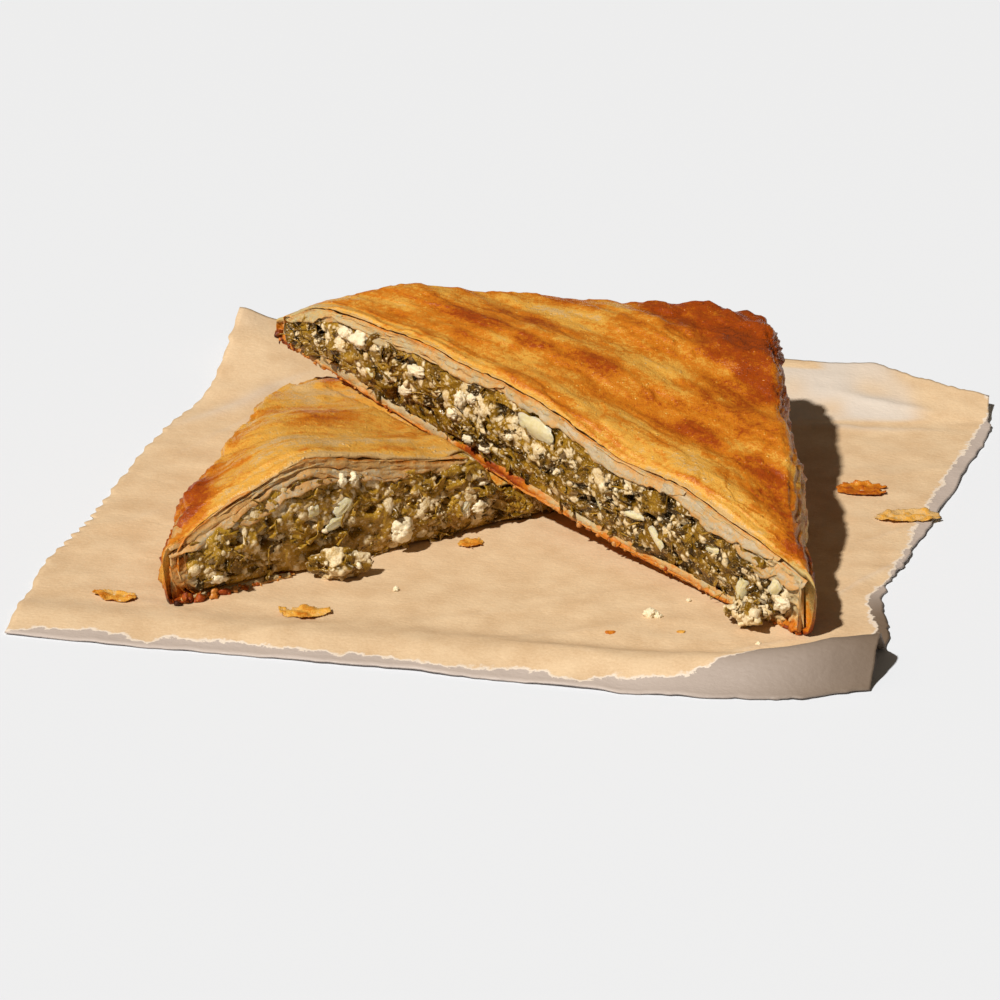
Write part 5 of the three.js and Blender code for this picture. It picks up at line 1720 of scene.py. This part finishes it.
class PIE_OT_stage(bpy.types.Operator):
    """Add the camera, the pale floor and the light"""

    bl_idname = "pie.stage"
    bl_label = "Stage"

    def execute(self, context):
        scene = context.scene
        target = Vector((SHIFT[0] * MM, SHIFT[1] * MM, 0))
        towards_camera = Vector((0, -math.cos(CAMERA_HEIGHT), math.sin(CAMERA_HEIGHT)))
        camera = bpy.data.objects.new("Camera", bpy.data.cameras.new("Camera"))
        camera.data.lens, camera.data.sensor_width = LENS, SENSOR
        camera.data.clip_start, camera.data.clip_end = 0.01, 20
        camera.location = target + CAMERA_DISTANCE * MM * towards_camera
        camera.rotation_euler = (target - camera.location).to_track_quat("-Z", "Y").to_euler()
        scene.collection.objects.link(camera)
        scene.camera = camera

        height, turn = scene.pie_sizes.sun_height, scene.pie_sizes.sun_turn
        flat = math.cos(height)
        towards_sun = Vector((-math.sin(turn) * flat, -math.cos(turn) * flat, math.sin(height)))
        sun = bpy.data.objects.new("Key light", bpy.data.lights.new("Key light", "SUN"))
        sun.data.energy, sun.data.angle = SUN_STRENGTH, SUN_SPREAD
        sun.data.color = SUN_COLOUR
        sun.location = towards_sun
        sun.rotation_euler = towards_sun.to_track_quat("Z", "Y").to_euler()
        scene.collection.objects.link(sun)

        world = bpy.data.worlds.new("Studio")
        world.use_nodes = True
        sky = {"Color": SKY_COLOUR, "Strength": SKY_STRENGTH}
        give(world.node_tree, world.node_tree.nodes["Background"], sky)
        scene.world = world
        scene.view_settings.view_transform = "Standard"

        mesh = bpy.data.meshes.new("Floor")
        side = FLOOR_REACH * MM
        corners = [(-side, -side, 0), (side, -side, 0), (side, side, 0), (-side, side, 0)]
        mesh.from_pydata(corners, [], [(0, 1, 2, 3)])
        floor = bpy.data.objects.new("Floor", mesh)
        scene.collection.objects.link(floor)
        material, tree, principled = shader("Pale floor")
        give(tree, principled, {"Base Color": FLOOR_COLOUR, "Roughness": 0.9})
        mesh.materials.append(material)
        return {"FINISHED"}


class PIE_OT_paper(bpy.types.Operator):
    """Add the torn sheet of baking paper"""

    bl_idname = "pie.paper"
    bl_label = "Baking paper"

    def execute(self, context):
        paper_body().piece("paper_sheet", material_of("paper"), ["baking_paper"], "baking_paper")
        return {"FINISHED"}


class PIE_OT_crusts(bpy.types.Operator):
    """Add the browned crust of both halves"""

    bl_idname = "pie.crusts"
    bl_label = "Crusts"

    def execute(self, context):
        for half in (upper, lower):
            name = half.name
            crust_body(half).piece(f"{name}_crust", material_of("crust"), [f"{name}_pastry"], "crust")
        return {"FINISHED"}


class PIE_OT_leaves(bpy.types.Operator):
    """Add the torn filo leaves, folds and crumbs at the cuts"""

    bl_idname = "pie.leaves"
    bl_label = "Filo leaves"

    def execute(self, context):
        thick = context.scene.pie_sizes.leaf_thickness / MM
        for half in (upper, lower):
            leaves = leaves_of(half, thick)
            leaves.piece(f"{half.name}_leaves", material_of("leaf"), slot="crust", lowest=ON_PAPER)
        return {"FINISHED"}


class PIE_OT_fillings(bpy.types.Operator):
    """Add the spinach, feta and onion at both cuts"""

    bl_idname = "pie.fillings"
    bl_label = "Fillings"

    def execute(self, context):
        sizes = context.scene.pie_sizes
        for half, bits, seed in ((upper, sizes.upper_bits, 5), (lower, sizes.lower_bits, 6)):
            face, leaf, feta, onion = filling_of(half, bits, seed)
            name = half.name
            face.piece(f"{name}_face", material_of("filling"), [f"{name}_filling"], "filling")
            leaf.piece(f"{name}_spinach", material_of("filling"), slot="filling", lowest=ON_PAPER)
            feta.piece(f"{name}_feta", material_of("feta"), slot="filling")
            onion.piece(f"{name}_onion", material_of("onion"), slot="filling")
        return {"FINISHED"}


HEAPS = {                        # direction, seed, size, shift from the middle of its solid
    "fallen": (8, 9, 1.0, (0, 0, 0.3)),
    "spilled": (-40, 23, 0.8, (1.8, 0, 0)),
}
FLAKES = {                       # turn, bend, browning, seed
    "flake_brown": (-4, 1.4, 0.66, 3),
    "flake_golden": (4, 0.3, 0.14, 4),
    "flake_middle": (20, 0.8, 0.26, 5),
    "flake_cluster": (8, 0.7, 0.26, 6),
    "flake_left": (-18, 0.8, 0.34, 7),
}
LOOSE_CRUMBS = [                 # x, y, radius, browning
    (13.5, -74, 1.0, 0.5), (20.6, -66.5, 0.9, 0.55), (39.5, -78, 1.1, 0.15), (34, -66, 0.7, 0.2),
    (-42, -66, 0.6, 0.4), (-33, -64, 0.5, 0.5), (60, -72, 0.5, 0.4), (-60, -62, 0.4, 0.4),
]
FETA_CRUMBS = [                  # x, y, radius
    (28.4, -59, 1.1), (29.8, -59.6, 0.7), (36, -52, 0.4), (-20, -47, 0.5), (48, -72, 0.5),
]


def loose_crumb(bodies, shape, x, y, height, radii, **values):
    """A crumb on the paper, at a place on the plan."""
    place = np.array([[x + SHIFT[0], y + SHIFT[1], SHEET + height]])
    bodies.scatter(shape, place, np.eye(3)[None], np.array([radii]), **values)


class PIE_OT_fallen(bpy.types.Operator):
    """Add the heaps, flakes and crumbs that have fallen on the paper"""

    bl_idname = "pie.fallen"
    bl_label = "Fallen bits"

    def execute(self, context):
        bits = context.scene.pie_sizes.fallen_bits
        for name, (direction, seed, size, shift) in HEAPS.items():
            heap, feta = heap_bodies(*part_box(f"{name}_filling"), direction, seed, bits, size, shift)
            heap.piece(f"{name}_heap", material_of("filling"), [f"{name}_filling"], "filling")
            feta.piece(f"{name}_feta", material_of("feta"), slot="filling")
        for name, (turn, bend, tone, seed) in FLAKES.items():
            body = flake_body(*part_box(name), turn, bend, tone, seed)
            body.piece(f"loose_{name}", material_of("crust"), [name], "flake")

        crumbs, feta = Bodies("browning", "damp"), Bodies("tone")
        for n, (x, y, radius, tone) in enumerate(LOOSE_CRUMBS):
            shape = rough_ball(3, n, 0.4, 0.2)
            radii = (radius, radius * 0.8, radius * 0.3)
            loose_crumb(crumbs, shape, x, y, 0.2 * radius, radii, browning=np.array([tone]))
        crumbs.piece("pastry_crumbs", material_of("crust"), slot="flake", lowest=ON_PAPER)
        for n, (x, y, radius) in enumerate(FETA_CRUMBS):
            shape = rough_ball(4, n + 50, 0.35, 0.2)
            loose_crumb(feta, shape, x, y, 0.6 * radius, (radius,) * 3, tone=np.array([0.8]))
        feta.piece("feta_crumbs", material_of("feta"), slot="filling", lowest=ON_PAPER)
        return {"FINISHED"}


class PIE_PT_panel(bpy.types.Panel):
    """Buttons that add the pieces of the pie, and their settings"""

    bl_idname = "PIE_PT_panel"
    bl_label = "Spanakopita"
    bl_space_type = "VIEW_3D"
    bl_region_type = "UI"
    bl_category = "Pie"

    def draw(self, context):
        layout = self.layout
        for operator in OPERATORS:
            layout.operator(operator.bl_idname)
        for settings in (context.scene.pie_sizes, context.scene.pie_look):
            box = layout.box()
            for name in settings.__annotations__:
                box.prop(settings, name)


OPERATORS = (PIE_OT_stage, PIE_OT_paper, PIE_OT_crusts, PIE_OT_leaves, PIE_OT_fillings, PIE_OT_fallen)
CLASSES = (PIE_PG_look, PIE_PG_sizes, *OPERATORS, PIE_PT_panel)


def register():
    for each in CLASSES:
        bpy.utils.register_class(each)
    bpy.types.Scene.pie_look = PointerProperty(type=PIE_PG_look)
    bpy.types.Scene.pie_sizes = PointerProperty(type=PIE_PG_sizes)


def unregister():
    del bpy.types.Scene.pie_sizes
    del bpy.types.Scene.pie_look
    for each in reversed(CLASSES):
        bpy.utils.unregister_class(each)


def main():
    register()
    bpy.ops.pie.stage()
    bpy.ops.pie.paper()
    bpy.ops.pie.crusts()
    bpy.ops.pie.leaves()
    bpy.ops.pie.fillings()
    bpy.ops.pie.fallen()


if __name__ == "__main__":
    main()
